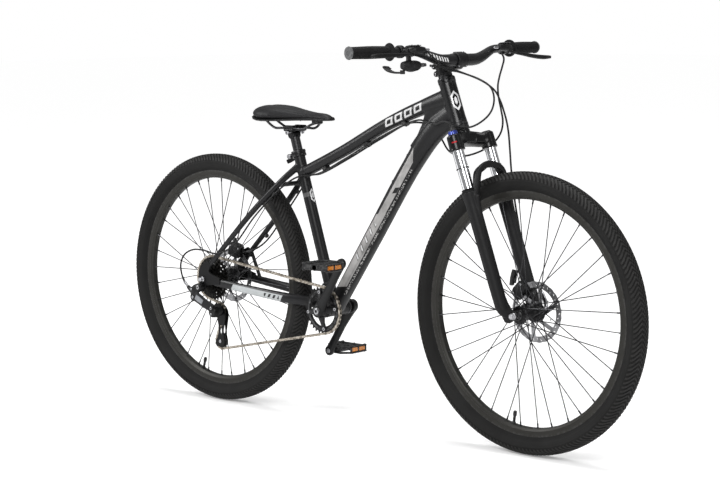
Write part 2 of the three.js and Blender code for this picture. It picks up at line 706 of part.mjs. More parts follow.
function rotorShape(centre, y) {
  const windows = Array.from({ length: 6 }, (_, i) => {
    const start = (i * Math.PI) / 3;
    const end = start + Math.PI / 3 - 0.22;
    const outer = circleOutline(centre, 64, 4, start, end);
    const inner = circleOutline(centre, 27, 3, start, end - 0.2).reverse();
    return plate([...outer, ...inner], y - 3, y + 3);
  });
  return cut(pin(centre, y - 1, y + 1, ROTOR_RADIUS, 32), windows, pin(centre, y - 3, y + 3, 17.5));
}

// A caliper straddles the rotor's rim: a block with a slot that the rotor runs through.
function caliperShape(axle, angle, rotorY, [yLow, yHigh], reach) {
  const body = block(vec(-26, yLow, 50), vec(26, yHigh, reach));
  const slot = block(vec(-40, rotorY - 1.8, 0), vec(40, rotorY + 1.8, ROTOR_RADIUS + 2.5));
  const placement = new THREE.Matrix4().makeRotationY(Math.PI / 2 - angle).setPosition(axle);
  return { shape: cut(body, slot), placement };
}

function axleShape(centre, overLocknuts, dropoutOuter, radius) {
  const half = overLocknuts / 2;
  const shaft = pin(centre, -half - 12, half + 12, radius, 10);
  const nuts = [-1, 1].map((side) => pin(centre, side * (half - 6), side * (half - GAP), 8.5, 10));
  const ends = [-1, 1].map((side) =>
    pin(centre, side * (dropoutOuter + GAP), side * (dropoutOuter + 9), 9, 10),
  );
  return join(shaft, nuts, ends);
}

// ---------- fork ----------
const STANCHION_RADIUS = 15;
const CROWN_LEG_BOTTOM = -71;
const CROWN_LEG_TOP = -28;
const LOWERS_TOP = -180;
const STANCHION_BOTTOM = -330;
const TRAVEL = 80;
const STEERER_RADIUS = 14.3;
const STEERER_TOP = HEAD_TUBE_LENGTH + 55;
const FRONT_DROPOUT_INNER = 50;
const FRONT_DROPOUT_OUTER = 58;

function crownShape() {
  const half = [vec(LEG_OFFSET, LEG_Y, -47), vec(20, 52, -46), vec(7, 32, -38)];
  const bridge = tapered(
    [...mirrored(half), vec(0, 0, -33), ...half.toReversed()],
    [[36, 35], [38, 35], [38, 38], [44, 40], [38, 38], [38, 35], [36, 35]],
    { sides: 10, across: vec(1, 0, 0) },
  );
  const steerer = rod(vec(0, 0, -30), vec(0, 0, STEERER_TOP), STEERER_RADIUS, 14);
  const legs = [-1, 1].map((side) => {
    const y = side * LEG_Y;
    return rod(vec(LEG_OFFSET, y, CROWN_LEG_BOTTOM), vec(LEG_OFFSET, y, CROWN_LEG_TOP), 20, 14);
  });
  const sockets = [-1, 1].map((side) => {
    const y = side * LEG_Y;
    const top = CROWN_LEG_TOP - 6;
    return rod(vec(LEG_OFFSET, y, CROWN_LEG_BOTTOM - 5), vec(LEG_OFFSET, y, top), STANCHION_RADIUS + 0.5, 14);
  });
  const bore = rod(vec(0, 0, -60), vec(0, 0, STEERER_TOP + 5), STEERER_RADIUS - 2.5, 10);
  return cut(join(bridge, steerer, legs), sockets, bore);
}

function stanchionShape(side) {
  const y = side * LEG_Y;
  const top = CROWN_LEG_TOP - 6 - GAP;
  return rod(vec(LEG_OFFSET, y, STANCHION_BOTTOM), vec(LEG_OFFSET, y, top), STANCHION_RADIUS, 14);
}

function lowersShape() {
  const parts = [];
  const bores = [];
  for (const side of [-1, 1]) {
    const y = side * LEG_Y;
    const foot = vec(LEG_OFFSET, y, -FORK_AXLE_DROP + 20);
    parts.push(rod(foot, vec(LEG_OFFSET, y, LOWERS_TOP - 24), 18, 14, 19));
    parts.push(rod(vec(LEG_OFFSET, y, LOWERS_TOP - 26), vec(LEG_OFFSET, y, LOWERS_TOP), 21, 14));
    const axle = vec(FORK_AXLE_OFFSET, 0, -FORK_AXLE_DROP);
    const outline = [[14, 30], [14, -12], [30, -14], [42, -10], [60, -6], [60, 10], [46, 16], [40, 34]];
    const heel = outline.map(([x, z]) => [x, z - FORK_AXLE_DROP]);
    const [low, high] = side < 0
      ? [-FRONT_DROPOUT_OUTER, -FRONT_DROPOUT_INNER]
      : [FRONT_DROPOUT_INNER, FRONT_DROPOUT_OUTER];
    parts.push(plate(heel, low, high));
    bores.push(pin(axle, side * 45, side * 70, 5, 12));
    const bottom = STANCHION_BOTTOM - TRAVEL - 20;
    const mouth = vec(LEG_OFFSET, y, LOWERS_TOP + 5);
    bores.push(rod(vec(LEG_OFFSET, y, bottom), mouth, STANCHION_RADIUS + 0.6, 14));
  }
  const arch = [
    vec(40, 62, -196), vec(52, 56, -168), vec(60, 46, -136), vec(61, 22, -124),
    vec(61, 0, -122),
  ];
  const archPath = [...arch, ...mirrored(arch.slice(0, -1)).reverse()];
  const archSizes = archPath.map(() => [14, 16]);
  parts.push(tapered(archPath, archSizes, { sides: 8, steps: 10, across: vec(1, 0, 0) }));
  return cut(join(parts), bores);
}

function headsetLower() {
  return turnedUpright([
    [STEERER_RADIUS + GAP, -0.3], [STEERER_RADIUS + GAP, -9.5], [23, -9.5], [24.5, -4], [24, -0.3],
  ]);
}

function headsetUpper() {
  const low = HEAD_TUBE_LENGTH + GAP;
  const bore = STEERER_RADIUS + GAP;
  return turnedUpright([
    [bore, low], [23.5, low], [22.5, low + 6], [18, low + 9], [18, low + 14], [bore, low + 14],
  ]);
}

// ---------- cockpit ----------
const CLAMP_LOW = HEAD_TUBE_LENGTH + 14.7;
const CLAMP_HIGH = STEERER_TOP;
const CLAMP_Z = HEAD_TUBE_LENGTH + 35.5;
const BAR_RADIUS = 15.9;
const GRIP_BAR_RADIUS = 11.1;
const BAR_RISE = 25.6;
const BAR_SWEEP = 0.128; // the slope of the swept-back ends
const BAR_BEND_START = 56;
const BAR_BEND_END = 170;

function stemShape() {
  const collar = rod(vec(0, 0, CLAMP_LOW), vec(0, 0, CLAMP_HIGH), 20, 16);
  const neck = tapered([vec(10, 0, CLAMP_Z), vec(STEM_LENGTH - 14, 0, CLAMP_Z)], [[32, 32], [36, 34]], {
    steps: 1,
    sides: 10,
  });
  const bolts = block(vec(-29, -11, CLAMP_LOW + 3), vec(-12, 11, CLAMP_HIGH - 3));
  const clamp = block(vec(STEM_LENGTH - 22, -21, CLAMP_Z - 21), vec(STEM_LENGTH - 1, 21, CLAMP_Z + 21));
  return cut(join(collar, neck, bolts, clamp),
    rod(vec(0, 0, CLAMP_LOW - 5), vec(0, 0, CLAMP_HIGH + 5), STEERER_RADIUS + 0.5, 14),
    pin(vec(STEM_LENGTH, 0, CLAMP_Z), -40, 40, BAR_RADIUS + 0.6, 18));
}

function faceplateShape() {
  const front = block(vec(STEM_LENGTH + 1, -21, CLAMP_Z - 21), vec(STEM_LENGTH + 20, 21, CLAMP_Z + 21));
  return cut(front, pin(vec(STEM_LENGTH, 0, CLAMP_Z), -40, 40, BAR_RADIUS + 0.6, 18));
}

// The handlebar rises and sweeps back on each side; the part under the grips is straight.
function barPoint(side, reach) {
  const bent = THREE.MathUtils.smoothstep(reach, BAR_BEND_START, BAR_BEND_END);
  const swept = -BAR_SWEEP * (reach - BAR_BEND_START + 14) * bent;
  return BAR_CENTRE.clone().add(vec(swept, side * reach, BAR_RISE * bent));
}

function handlebarShape() {
  const reaches = [366, 300, 237, 190, 170, 150, 128, 104, 80, 56, 22];
  const half = (side) => reaches.map((reach) => barPoint(side, reach));
  const points = [...half(-1), ...half(1).reverse()];
  const diameters = reaches.map((reach) => {
    const taper = THREE.MathUtils.clamp(reach, BAR_BEND_START, 150);
    return 2 * THREE.MathUtils.mapLinear(taper, BAR_BEND_START, 150, BAR_RADIUS, GRIP_BAR_RADIUS);
  });
  const sizes = [...diameters, ...diameters.toReversed()].map((size) => [size, size]);
  return tapered(points, sizes, { sides: 12, steps: 2 * reaches.length - 1, across: vec(1, 0, 0) });
}

// A placement on the handlebar, with +Y running outwards along it.
function onBar(side, reach) {
  const turn = new THREE.Matrix4().makeRotationZ(Math.atan(BAR_SWEEP));
  const fold = new THREE.Matrix4().makeScale(1, side, 1);
  return fold.clone().setPosition(barPoint(side, reach)).multiply(turn);
}

const GRIP_INNER = 237;
const GRIP_LENGTH = BAR_HALF_WIDTH - GRIP_INNER;
const GRIP_BORE = GRIP_BAR_RADIUS + 0.5;

function gripShape() {
  return turned([
    [GRIP_BORE, 0], [23.5, 0], [23.5, 4], [16.5, 7], [16, GRIP_LENGTH * 0.5], [16.5, GRIP_LENGTH],
    [14, GRIP_LENGTH + 4], [0, GRIP_LENGTH + 4], [0, GRIP_LENGTH - 1], [GRIP_BORE, GRIP_LENGTH - 1],
  ], vec(0, 0, 0), 14);
}

const LEVER_PIVOT = vec(30, -14, -6); // from the middle of the brake's bar clamp

function brakeBodyShape(drop) {
  const band = turned([[GRIP_BORE, -7], [16, -7], [16, 7], [GRIP_BORE, 7]], vec(0, 0, 0), 14);
  const cylinder = tapered(
    [vec(27, -62, 4), vec(27, -30, 3), vec(26, -4, -1)],
    [[16, 16], [19, 20], [18, 18]],
    { steps: 3, sides: 8, across: vec(1, 0, 0) },
  );
  const lug = block(vec(10, -6, -6), vec(26, 6, 6));
  const nearPivot = (x, y, z) => LEVER_PIVOT.clone().add(vec(x, y, z));
  const ears = block(nearPivot(-9, -5, -11), nearPivot(7, 11, 13));
  const jaw = block(nearPivot(-7, -30, -5.5 - drop * 0.5), nearPivot(12, 30, 5.5));
  const bore = pin(vec(0, 0, 0), -80, 20, GRIP_BORE, 16);
  return cut(join(band, cylinder, cut(lug, bore), ears), jaw, bore);
}

function brakeLeverShape(drop) {
  const hub = rod(LEVER_PIVOT.clone().add(vec(0, 0, -4.5)), LEVER_PIVOT.clone().add(vec(0, 0, 4.5)), 4.5, 8);
  const blade = [
    LEVER_PIVOT.clone(), vec(44, 4, -6 - drop * 0.3), vec(50, 60, -6 - drop * 0.7),
    vec(54, 120, -6 - drop), vec(60, 142, -6 - drop),
  ];
  const sizes = [[8, 8], [9, 9], [8, 12], [9, 13], [8, 10]];
  return join(hub, tapered(blade, sizes, { sides: 6, steps: 5, across: vec(1, 0, 0) }));
}

function shifterBodyShape() {
  const band = turned([[GRIP_BORE, -5], [15, -5], [15, 5], [GRIP_BORE, 5]], vec(0, 0, 0), 14);
  const pod = tapered(
    [vec(2, -30, -35), vec(2, -6, -36), vec(-2, 18, -35)],
    [[36, 24], [42, 27], [26, 20]],
    { steps: 3, sides: 10, across: vec(1, 0, 0) },
  );
  const neck = block(vec(-7, -4, -32), vec(7, 4, -13.5));
  const adjuster = rod(vec(4, -28, -36), vec(8, -52, -35), 5.5, 8);
  return join(band, pod, neck, adjuster);
}

function thumbLeverShape() {
  const reach = [vec(-8, 14, -53.5), vec(-28, 24, -53), vec(-48, 26, -48), vec(-66, 20, -40)];
  return tapered(reach, [[16, 5], [14, 5], [18, 6], [20, 8]], { sides: 8, steps: 4 });
}

// ---------- hoses ----------
const HOSE_RADIUS = 2.5;

// Points along the underside of the top tube, from front to back, on one side.
function underTopTube(y) {
  const path = new THREE.CatmullRomCurve3(TOP_TUBE.points, false, "centripetal");
  return [0.66, 0.45, 0.26, 0.1].map((share) => {
    const place = path.getPoint(share);
    return vec(place.x, y, place.z - 26);
  });
}

// Points along the underside of a seatstay, from the seat tube to the rear.
function underSeatstay(side) {
  return [
    vec(352, side * 24, 680), vec(309, side * 44, 650), vec(219, side * 62, 567), vec(124, side * 66, 472),
  ];
}

function rearBrakeHose() {
  const loop = [
    vec(947, 151, 1028), vec(957, 150, 1011), vec(961, 138, 989), vec(964, 124, 967), vec(974, 104, 941),
    vec(986, 92, 912), vec(996, 90, 878), vec(999, 93, 848), vec(990, 95, 818), vec(966, 92, 790),
    vec(934, 76, 768), vec(900, 46, 757), vec(868, 32, 768), vec(836, 32, 805), vec(812, 26, 834),
  ];
  const caliperEnd = [vec(84, 56, 447), vec(50, 48.5, 437)];
  return hose([...loop, ...underTopTube(8), ...underSeatstay(1), ...caliperEnd], HOSE_RADIUS, 46);
}

function shiftHousing() {
  const loop = [
    vec(936, -122, 997), vec(944, -100, 996), vec(948, -56, 990), vec(960, -10, 975), vec(990, 12, 960),
    vec(1018, 20, 941), vec(1028, 22, 914), vec(1022, 20, 882), vec(1004, 10, 857), vec(975, -12, 838),
    vec(946, -34, 842), vec(910, -36, 852), vec(874, -33, 844), vec(836, -27, 849), vec(806, -16, 852),
  ];
  const rear = [
    vec(72, -80, 448), vec(20, -86, 455), vec(-24, -88, 453), vec(-61, -88, 435), vec(-77, -88, 407),
    vec(-74, -88, 378), vec(-63, -87, 356), vec(-44, -86, 338),
  ];
  return hose([...loop, ...underTopTube(-8), ...underSeatstay(-1), ...rear], HOSE_RADIUS, 56);
}

function frontBrakeHose() {
  return hose([
    vec(942, -142, 1036), vec(944, -106, 1012), vec(938, -60, 988), vec(936, -10, 980), vec(950, 26, 968),
    vec(976, 46, 952), vec(998, 62, 930), vec(1006, 74, 904), vec(1010, 84, 876), vec(1014, 90, 850),
    vec(1018, 93, 820), vec(1024, 91, 776), vec(1031, 88, 722), vec(1042, 89, 640), vec(1056, 89, 570),
    vec(1064, 87, 510), vec(1066, 76, 472), vec(1070, 56, 448), vec(1079, 42, 436),
  ], HOSE_RADIUS, 38);
}

// ---------- assembly ----------
const bike = new THREE.Group();
const steered = new THREE.Group();
steered.applyMatrix4(STEER_FRAME);
bike.add(steered);

bike.add(piece("frame", frameShape(), PAINT));
bike.add(piece("seat_clamp", seatClamp(), BLACK_ALLOY, SEAT_FRAME));
const clampLever = camLever(
  vec(-26, 20, SEAT_TUBE_LENGTH - 7),
  [vec(-45, 20, SEAT_TUBE_LENGTH - 10), vec(-66, 13, SEAT_TUBE_LENGTH - 14)],
  vec(0, 0, 1),
);
bike.add(piece("seat_clamp_lever", clampLever, BLACK_ALLOY, SEAT_FRAME));
bike.add(piece("seatpost", seatpostShape(), BLACK_ALLOY, SEAT_FRAME));
bike.add(piece("saddle_clamp", saddleClampShape(), BLACK_ALLOY));
bike.add(piece("saddle_rails", railsShape(), DARK_STEEL));
bike.add(piece("saddle_shell", saddleShell(), BLACK_PLASTIC));
bike.add(piece("saddle_cover", saddleCover(), COVER));

const cup = SHELL_HALF_WIDTH + GAP;
const bracketProfile = [
  [SPINDLE_RADIUS + GAP, -46.5], [20, -46.5], [21, -cup], [17, -cup],
  [17, cup], [21, cup], [20, 46.5], [SPINDLE_RADIUS + GAP, 46.5],
];
bike.add(piece("bottom_bracket", turned(bracketProfile, BOTTOM_BRACKET), BLACK_ALLOY));
bike.add(piece("crank_arm_right", rightCrank(), BLACK_ALLOY));
bike.add(piece("crank_arm_left", leftCrank(), BLACK_ALLOY));
bike.add(piece("chainring", chainringShape(), BLACK_ALLOY));
bike.add(piece("chain", chainShape(), CHAIN_STEEL));
bike.add(piece("cassette", cassetteShape(), DARK_STEEL));
bike.add(piece("derailleur_body", derailleurShape(), BLACK_ALLOY));
bike.add(piece("derailleur_cage", cageShape(), BLACK_ALLOY));
bike.add(piece("upper_jockey", jockey(UPPER_JOCKEY), BLACK_PLASTIC));
bike.add(piece("lower_jockey", jockey(LOWER_JOCKEY), BLACK_PLASTIC));
for (const [label, side] of [["right", -1], ["left", 1]]) {
  bike.add(piece("pedal_axle_" + label, pedalAxle(side), STEEL));
  bike.add(piece("pedal_" + label, pedalBody(side), BLACK_PLASTIC));
}

const REAR_ROTOR_Y = 50;
const FRONT_ROTOR_Y = 37;
const REAR_CALIPER_ANGLE = THREE.MathUtils.degToRad(78);
const FRONT_CALIPER_ANGLE = THREE.MathUtils.degToRad(135);

function addWheel(label, axle, group, flanges, ends, rotorY) {
  const [rightFlange, leftFlange] = flanges;
  group.add(piece(label + "_hub", hubShape(axle, flanges, ...ends, rotorY), BLACK_ALLOY));
  group.add(piece(label + "_spokes", spokesShape(axle, rightFlange, leftFlange, FLANGE_RADIUS), DARK_STEEL));
  group.add(piece(label + "_rim", rimShape(axle), BLACK_ALLOY));
  group.add(piece(label + "_tyre", tyreShape(axle), RUBBER));
  group.add(piece(label + "_rotor", rotorShape(axle, rotorY), STEEL));
}

const FRONT_AXLE = vec(WHEELBASE, 0, WHEEL_RADIUS);
addWheel("rear", REAR_AXLE, bike, REAR_FLANGES, [-25, 60], REAR_ROTOR_Y);
addWheel("front", FRONT_AXLE, bike, FRONT_FLANGES, [-43, 43], FRONT_ROTOR_Y);

bike.add(piece("rear_axle", axleShape(REAR_AXLE, 2 * DROPOUT_INNER, DROPOUT_OUTER, 5), STEEL));
const rearSkewer = camLever(
  vec(0, 91, WHEEL_RADIUS),
  [vec(-18, 93, 384), vec(-44, 88, 404)],
  vec(0.7, 0, 0.7),
  8,
);
bike.add(piece("rear_skewer_lever", rearSkewer, STEEL));
const rearCaliper = caliperShape(REAR_AXLE, REAR_CALIPER_ANGLE, REAR_ROTOR_Y, [37, 60], 102);
bike.add(piece("rear_caliper", rearCaliper.shape, BLACK_ALLOY, rearCaliper.placement));
const frontAxle = axleShape(FRONT_AXLE, 2 * FRONT_DROPOUT_INNER, FRONT_DROPOUT_OUTER, 4.6);
bike.add(piece("front_axle", frontAxle, STEEL));
const frontSkewer = camLever(
  vec(WHEELBASE, 76, WHEEL_RADIUS),
  [vec(WHEELBASE - 12, 89, 384), vec(WHEELBASE - 34, 92, 416)],
  vec(0.8, 0, 0.6),
  8,
);
bike.add(piece("front_skewer_lever", frontSkewer, STEEL));
const frontCaliper = caliperShape(FRONT_AXLE, FRONT_CALIPER_ANGLE, FRONT_ROTOR_Y, [26, 44], 94);
bike.add(piece("front_caliper", frontCaliper.shape, BLACK_ALLOY, frontCaliper.placement));

steered.add(piece("headset_lower", headsetLower(), BLACK_ALLOY));
steered.add(piece("headset_upper", headsetUpper(), BLACK_ALLOY));
steered.add(piece("fork_crown", crownShape(), BLACK_ALLOY));
steered.add(piece("stanchion_right", stanchionShape(-1), CHROME));
steered.add(piece("stanchion_left", stanchionShape(1), CHROME));
steered.add(piece("fork_lowers", lowersShape(), MAGNESIUM));
const dialProfile = [
  [0, CROWN_LEG_TOP + GAP], [13, CROWN_LEG_TOP + GAP], [12, CROWN_LEG_TOP + 10], [0, CROWN_LEG_TOP + 11],
];
const dialPlace = new THREE.Matrix4().setPosition(LEG_OFFSET, -LEG_Y, 0);
steered.add(piece("fork_dial", turnedUpright(dialProfile, 16), BLUE, dialPlace));
steered.add(piece("stem", stemShape(), BLACK_ALLOY));
steered.add(piece("stem_faceplate", faceplateShape(), BLACK_ALLOY));
const capBase = STEERER_TOP + GAP;
const capProfile = [[0, capBase], [17, capBase], [16, STEERER_TOP + 4], [0, STEERER_TOP + 4]];
steered.add(piece("top_cap", turnedUpright(capProfile, 20), BLACK_ALLOY));

const BRAKE_REACH = 205;
const SHIFTER_REACH = 176;
bike.add(piece("handlebar", handlebarShape(), BLACK_ALLOY));
for (const [label, side, drop] of [["right", -1, 2], ["left", 1, 20]]) {
  bike.add(piece("grip_" + label, gripShape(), RUBBER, onBar(side, GRIP_INNER)));
  bike.add(piece("brake_body_" + label, brakeBodyShape(drop), BLACK_ALLOY, onBar(side, BRAKE_REACH)));
  bike.add(piece("brake_lever_" + label, brakeLeverShape(drop), BLACK_ALLOY, onBar(side, BRAKE_REACH)));
}
bike.add(piece("shifter_body", shifterBodyShape(), BLACK_PLASTIC, onBar(-1, SHIFTER_REACH)));
bike.add(piece("shifter_lever", thumbLeverShape(), BLACK_PLASTIC, onBar(-1, SHIFTER_REACH)));

bike.add(piece("rear_brake_hose", rearBrakeHose(), BLACK_PLASTIC));
bike.add(piece("shift_housing", shiftHousing(), BLACK_PLASTIC));
bike.add(piece("front_brake_hose", frontBrakeHose(), BLACK_PLASTIC));

export default bike;
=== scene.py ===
"""The looks of a hardtail mountain bike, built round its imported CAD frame.

Shapes are drawn in millimetres and turned to metres when a piece is made.
"""
import json
import math

import bmesh
import bpy
import numpy as np
from mathutils import Matrix, Vector
from mathutils.geometry import tessellate_polygon


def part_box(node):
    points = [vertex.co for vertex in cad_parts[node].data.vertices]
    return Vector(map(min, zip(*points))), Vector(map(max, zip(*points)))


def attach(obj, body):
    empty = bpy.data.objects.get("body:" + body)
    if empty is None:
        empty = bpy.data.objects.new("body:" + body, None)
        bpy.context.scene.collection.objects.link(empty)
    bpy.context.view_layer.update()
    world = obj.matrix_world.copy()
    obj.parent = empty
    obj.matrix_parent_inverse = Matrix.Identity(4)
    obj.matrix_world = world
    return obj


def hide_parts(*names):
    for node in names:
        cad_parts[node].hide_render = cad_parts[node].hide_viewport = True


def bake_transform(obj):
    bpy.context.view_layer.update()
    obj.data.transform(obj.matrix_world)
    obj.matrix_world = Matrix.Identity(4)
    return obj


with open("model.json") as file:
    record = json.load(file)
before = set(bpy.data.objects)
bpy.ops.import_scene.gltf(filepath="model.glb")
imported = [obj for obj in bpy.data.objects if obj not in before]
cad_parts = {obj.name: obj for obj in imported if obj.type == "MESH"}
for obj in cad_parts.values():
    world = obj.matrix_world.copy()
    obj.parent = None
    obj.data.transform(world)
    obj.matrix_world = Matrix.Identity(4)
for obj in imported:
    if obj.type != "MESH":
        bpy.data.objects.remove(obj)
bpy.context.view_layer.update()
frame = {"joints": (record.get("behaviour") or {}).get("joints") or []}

MM = 0.001
SHARP_ANGLE = math.radians(32)
TWIST_START = (0.31, 0.2, 0.93)  # a direction that no hose starts along
BOLT_HEAD = ((0.96, 0.0), (1.0, 0.15), (1.0, 0.8), (0.86, 1.0))  # shares of its radius and height, going up
BOLT_RECESS_WIDTH = 0.5
BOLT_RECESS_DEPTH = 0.7


# ---------- places from the frame ----------
def middle(node):
    low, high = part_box(node)
    return np.array((low + high) / 2) / MM


def joint_place(name):
    found = next(joint for joint in frame["joints"] if joint["name"] == name)
    return np.array(found["pos_m"]) / MM, np.array(found["axis"])


REAR_AXLE = middle("rear_tyre")
FRONT_AXLE = middle("front_tyre")
BOTTOM_BRACKET = middle("bottom_bracket")
HEAD_TUBE_BOTTOM, STEERING_AXIS = joint_place("steering_turn")
SEAT_AXIS = np.array(next(j["axis"] for j in frame["joints"] if j["name"] == "seatpost_height"))


def vec(x, y, z):
    return np.array([x, y, z], float)


def placement(origin, upright, across=(0, 1, 0)):
    """The matrix whose Z runs along upright and whose Y stays close to across."""
    z = np.array(upright, float) / np.linalg.norm(upright)
    x = np.cross(across, z)
    x /= np.linalg.norm(x)
    made = np.eye(4)
    made[:3, 0], made[:3, 1], made[:3, 2], made[:3, 3] = x, np.cross(z, x), z, origin
    return made


STEER = placement(HEAD_TUBE_BOTTOM, STEERING_AXIS)
SEAT = placement(BOTTOM_BRACKET, SEAT_AXIS)


def place(matrix, point):
    return matrix[:3, :3] @ np.array(point, float) + matrix[:3, 3]


def steer_point(ahead, y, height):
    return place(STEER, (ahead, y, height))


def seat_point(distance, y=0):
    return place(SEAT, (0, y, distance))


# ---------- shapes: (points, faces) pairs ----------
def merge(*shapes):
    """One shape holding all the given ones, which may be nested in lists."""
    points, faces, count = [], [], 0
    for shape in shapes:
        if isinstance(shape, list):
            shape = merge(*shape)
        points.append(shape[0])
        faces += [tuple(index + count for index in face) for face in shape[1]]
        count += len(shape[0])
    return np.concatenate(points), faces


def moved(shape, matrix):
    points, faces = shape
    return points @ matrix[:3, :3].T + matrix[:3, 3], faces


def shifted(shape, offset):
    return shape[0] + np.array(offset, float), shape[1]


def mirrored(shape):
    return shape[0] * (1, -1, 1), [face[::-1] for face in shape[1]]


def loft(rings, loop=False):
    """A skin over rings of points; loop joins the last ring to the first."""
    rings = np.array(rings, float)
    count, around = rings.shape[:2]
    faces = []
    for i in range(count if loop else count - 1):
        here, there = i * around, (i + 1) % count * around
        for j in range(around):
            k = (j + 1) % around
            faces.append((here + j, here + k, there + k, there + j))
    if not loop:
        faces.append(tuple(range(around))[::-1])
        faces.append(tuple((count - 1) * around + j for j in range(around)))
    return rings.reshape(-1, 3), faces


def circle(count, start=0.0):
    angles = start + np.arange(count) * 2 * math.pi / count
    return np.stack([np.cos(angles), np.sin(angles)], 1)


def turned(profile, centre=(0, 0, 0), segments=48):
    """A solid turned about Y: profile lists (radius, y) pairs round its section."""
    rings = [[(radius * c, y, radius * s) for radius, y in profile] for c, s in circle(segments)]
    points = np.array(rings) + np.array(centre, float)
    around = len(profile)
    faces = []
    for i in range(segments):
        here, there = i * around, (i + 1) % segments * around
        for j in range(around):
            k = (j + 1) % around
            faces.append((here + j, here + k, there + k, there + j))
    return points.reshape(-1, 3), faces


def upright(profile, segments=48):
    """The same, turned about Z: profile lists (radius, z) pairs."""
    points, faces = turned(profile, segments=segments)
    return np.stack([points[:, 0], -points[:, 2], points[:, 1]], 1), faces


def rod(start, end, radius, end_radius=None, sides=24, chamfer=0.4):
    """A round bar with softened ends."""
    start, end = np.array(start, float), np.array(end, float)
    length = np.linalg.norm(end - start)
    last = radius if end_radius is None else end_radius
    soft = min(chamfer, radius * 0.45, length * 0.3)
    profile = [(0, 0), (radius - soft, 0), (radius, soft), (last, length - soft), (last - soft, length), (0, length)]
    shape = upright(profile, sides)
    along = (end - start) / length
    across = (0, 1, 0) if abs(along[1]) < 0.9 else (1, 0, 0)
    return moved(shape, placement(start, along, across))


def cross_rod(centre, low, high, *sizes, **kind):
    """A round bar along Y, between two distances from a centre."""
    return rod(centre + vec(0, low, 0), centre + vec(0, high, 0), *sizes, **kind)


def spline(points, steps):
    """Points along a centripetal Catmull-Rom curve, with its tangents."""
    given = np.array(points, float)
    padded = np.concatenate([[2 * given[0] - given[1]], given, [2 * given[-1] - given[-2]]])
    places, tangents = [], []
    for share in np.linspace(0, 1, steps + 1):
        where = share * (len(given) - 1)
        index = min(int(where), len(given) - 2)
        t = where - index
        a, b, c, d = padded[index:index + 4]
        before, here, after = (math.sqrt(np.linalg.norm(q - p)) for p, q in ((a, b), (b, c), (c, d)))
        leave = ((b - a) / before - (c - a) / (before + here) + (c - b) / here) * here
        arrive = ((c - b) / here - (d - b) / (here + after) + (d - c) / after) * here
        square, cube = 3 * (c - b) - 2 * leave - arrive, 2 * (b - c) + leave + arrive
        places.append(b + leave * t + square * t * t + cube * t ** 3)
        tangents.append(leave + 2 * square * t + 3 * cube * t * t)
    tangents = np.array(tangents)
    return np.array(places), tangents / np.linalg.norm(tangents, axis=1)[:, None]


def oval(sides, power=2.0):
    """A unit section: power 2 is round, and higher powers are squarer."""
    c, s = circle(sides, math.pi / sides).T
    return np.stack([np.sign(c) * np.abs(c) ** (2 / power), np.sign(s) * np.abs(s) ** (2 / power)], 1)


def tapered(points, sizes, steps=24, section=None, across=(0, 1, 0)):
    """A tube along a curve; sizes lists (width, height) at its points, width being along across."""
    section = oval(24) if section is None else section
    places, tangents = spline(points, steps)
    stations = np.linspace(0, len(sizes) - 1, steps + 1)
    widths, heights = (np.interp(stations, np.arange(len(sizes)), [s[k] for s in sizes]) for k in (0, 1))
    rings = []
    for centre, tangent, width, height in zip(places, tangents, widths, heights):
        wide = np.array(across, float) - np.dot(across, tangent) * tangent
        wide /= np.linalg.norm(wide)
        high = np.cross(tangent, wide)
        rings.append(centre + section[:, :1] * wide * width / 2 + section[:, 1:] * high * height / 2)
    return loft(rings)


def tube(points, radius, steps=40, sides=10, smooth=True):
    """A hose or wire of constant thickness whose section doesn't twist."""
    if smooth:
        places, tangents = spline(points, steps)
    else:
        places = np.array(points, float)
        tangents = np.gradient(places, axis=0)
        tangents /= np.linalg.norm(tangents, axis=1)[:, None]
    side = np.cross(tangents[0], TWIST_START)
    rings = []
    for centre, tangent in zip(places, tangents):
        side = side - np.dot(side, tangent) * tangent
        side /= np.linalg.norm(side)
        other = np.cross(tangent, side)
        ring = circle(sides) * radius
        rings.append(centre + ring[:, :1] * side + ring[:, 1:] * other)
    return loft(rings)


def plate(outline, low, high, holes=()):
    """A flat plate in the XZ plane between two Y values, with holes through it."""
    loops = [[Vector((x, z, 0)) for x, z in ring] for ring in (outline, *holes)]
    flat = np.array([(v.x, v.y) for ring in loops for v in ring])
    triangles = tessellate_polygon(loops)
    count = len(flat)
    points = np.concatenate([np.insert(flat, 1, y, axis=1) for y in (low, high)])
    faces = [tuple(t) for t in triangles] + [tuple(i + count for i in t)[::-1] for t in triangles]
    base = 0
    for ring in loops:
        size = len(ring)
        for i in range(size):
            a, b = base + i, base + (i + 1) % size
            faces.append((a, b, b + count, a + count))
        base += size
    return points, faces


def flat(points):
    """The X and Z of points, as an outline for a plate."""
    return [(p[0], p[2]) for p in points]


def ring_outline(centre, radius, count):
    return [(centre[0] + radius * c, centre[2] + radius * s) for c, s in circle(count)]


def block(low, high, soft=1.0):
    """A box with its edges cut back."""
    low, high = np.minimum(low, high).astype(float), np.maximum(low, high).astype(float)
    soft = min(soft, *(high - low) * 0.4)
    rings = []
    for z, inset in ((low[2], soft), (low[2] + soft, 0), (high[2] - soft, 0), (high[2], soft)):
        x0, x1, y0, y1 = low[0] + inset, high[0] - inset, low[1] + inset, high[1] - inset
        rings.append([
            (x0 + soft, y0, z), (x1 - soft, y0, z), (x1, y0 + soft, z), (x1, y1 - soft, z),
            (x1 - soft, y1, z), (x0 + soft, y1, z), (x0, y1 - soft, z), (x0, y0 + soft, z),
        ])
    return loft(rings)


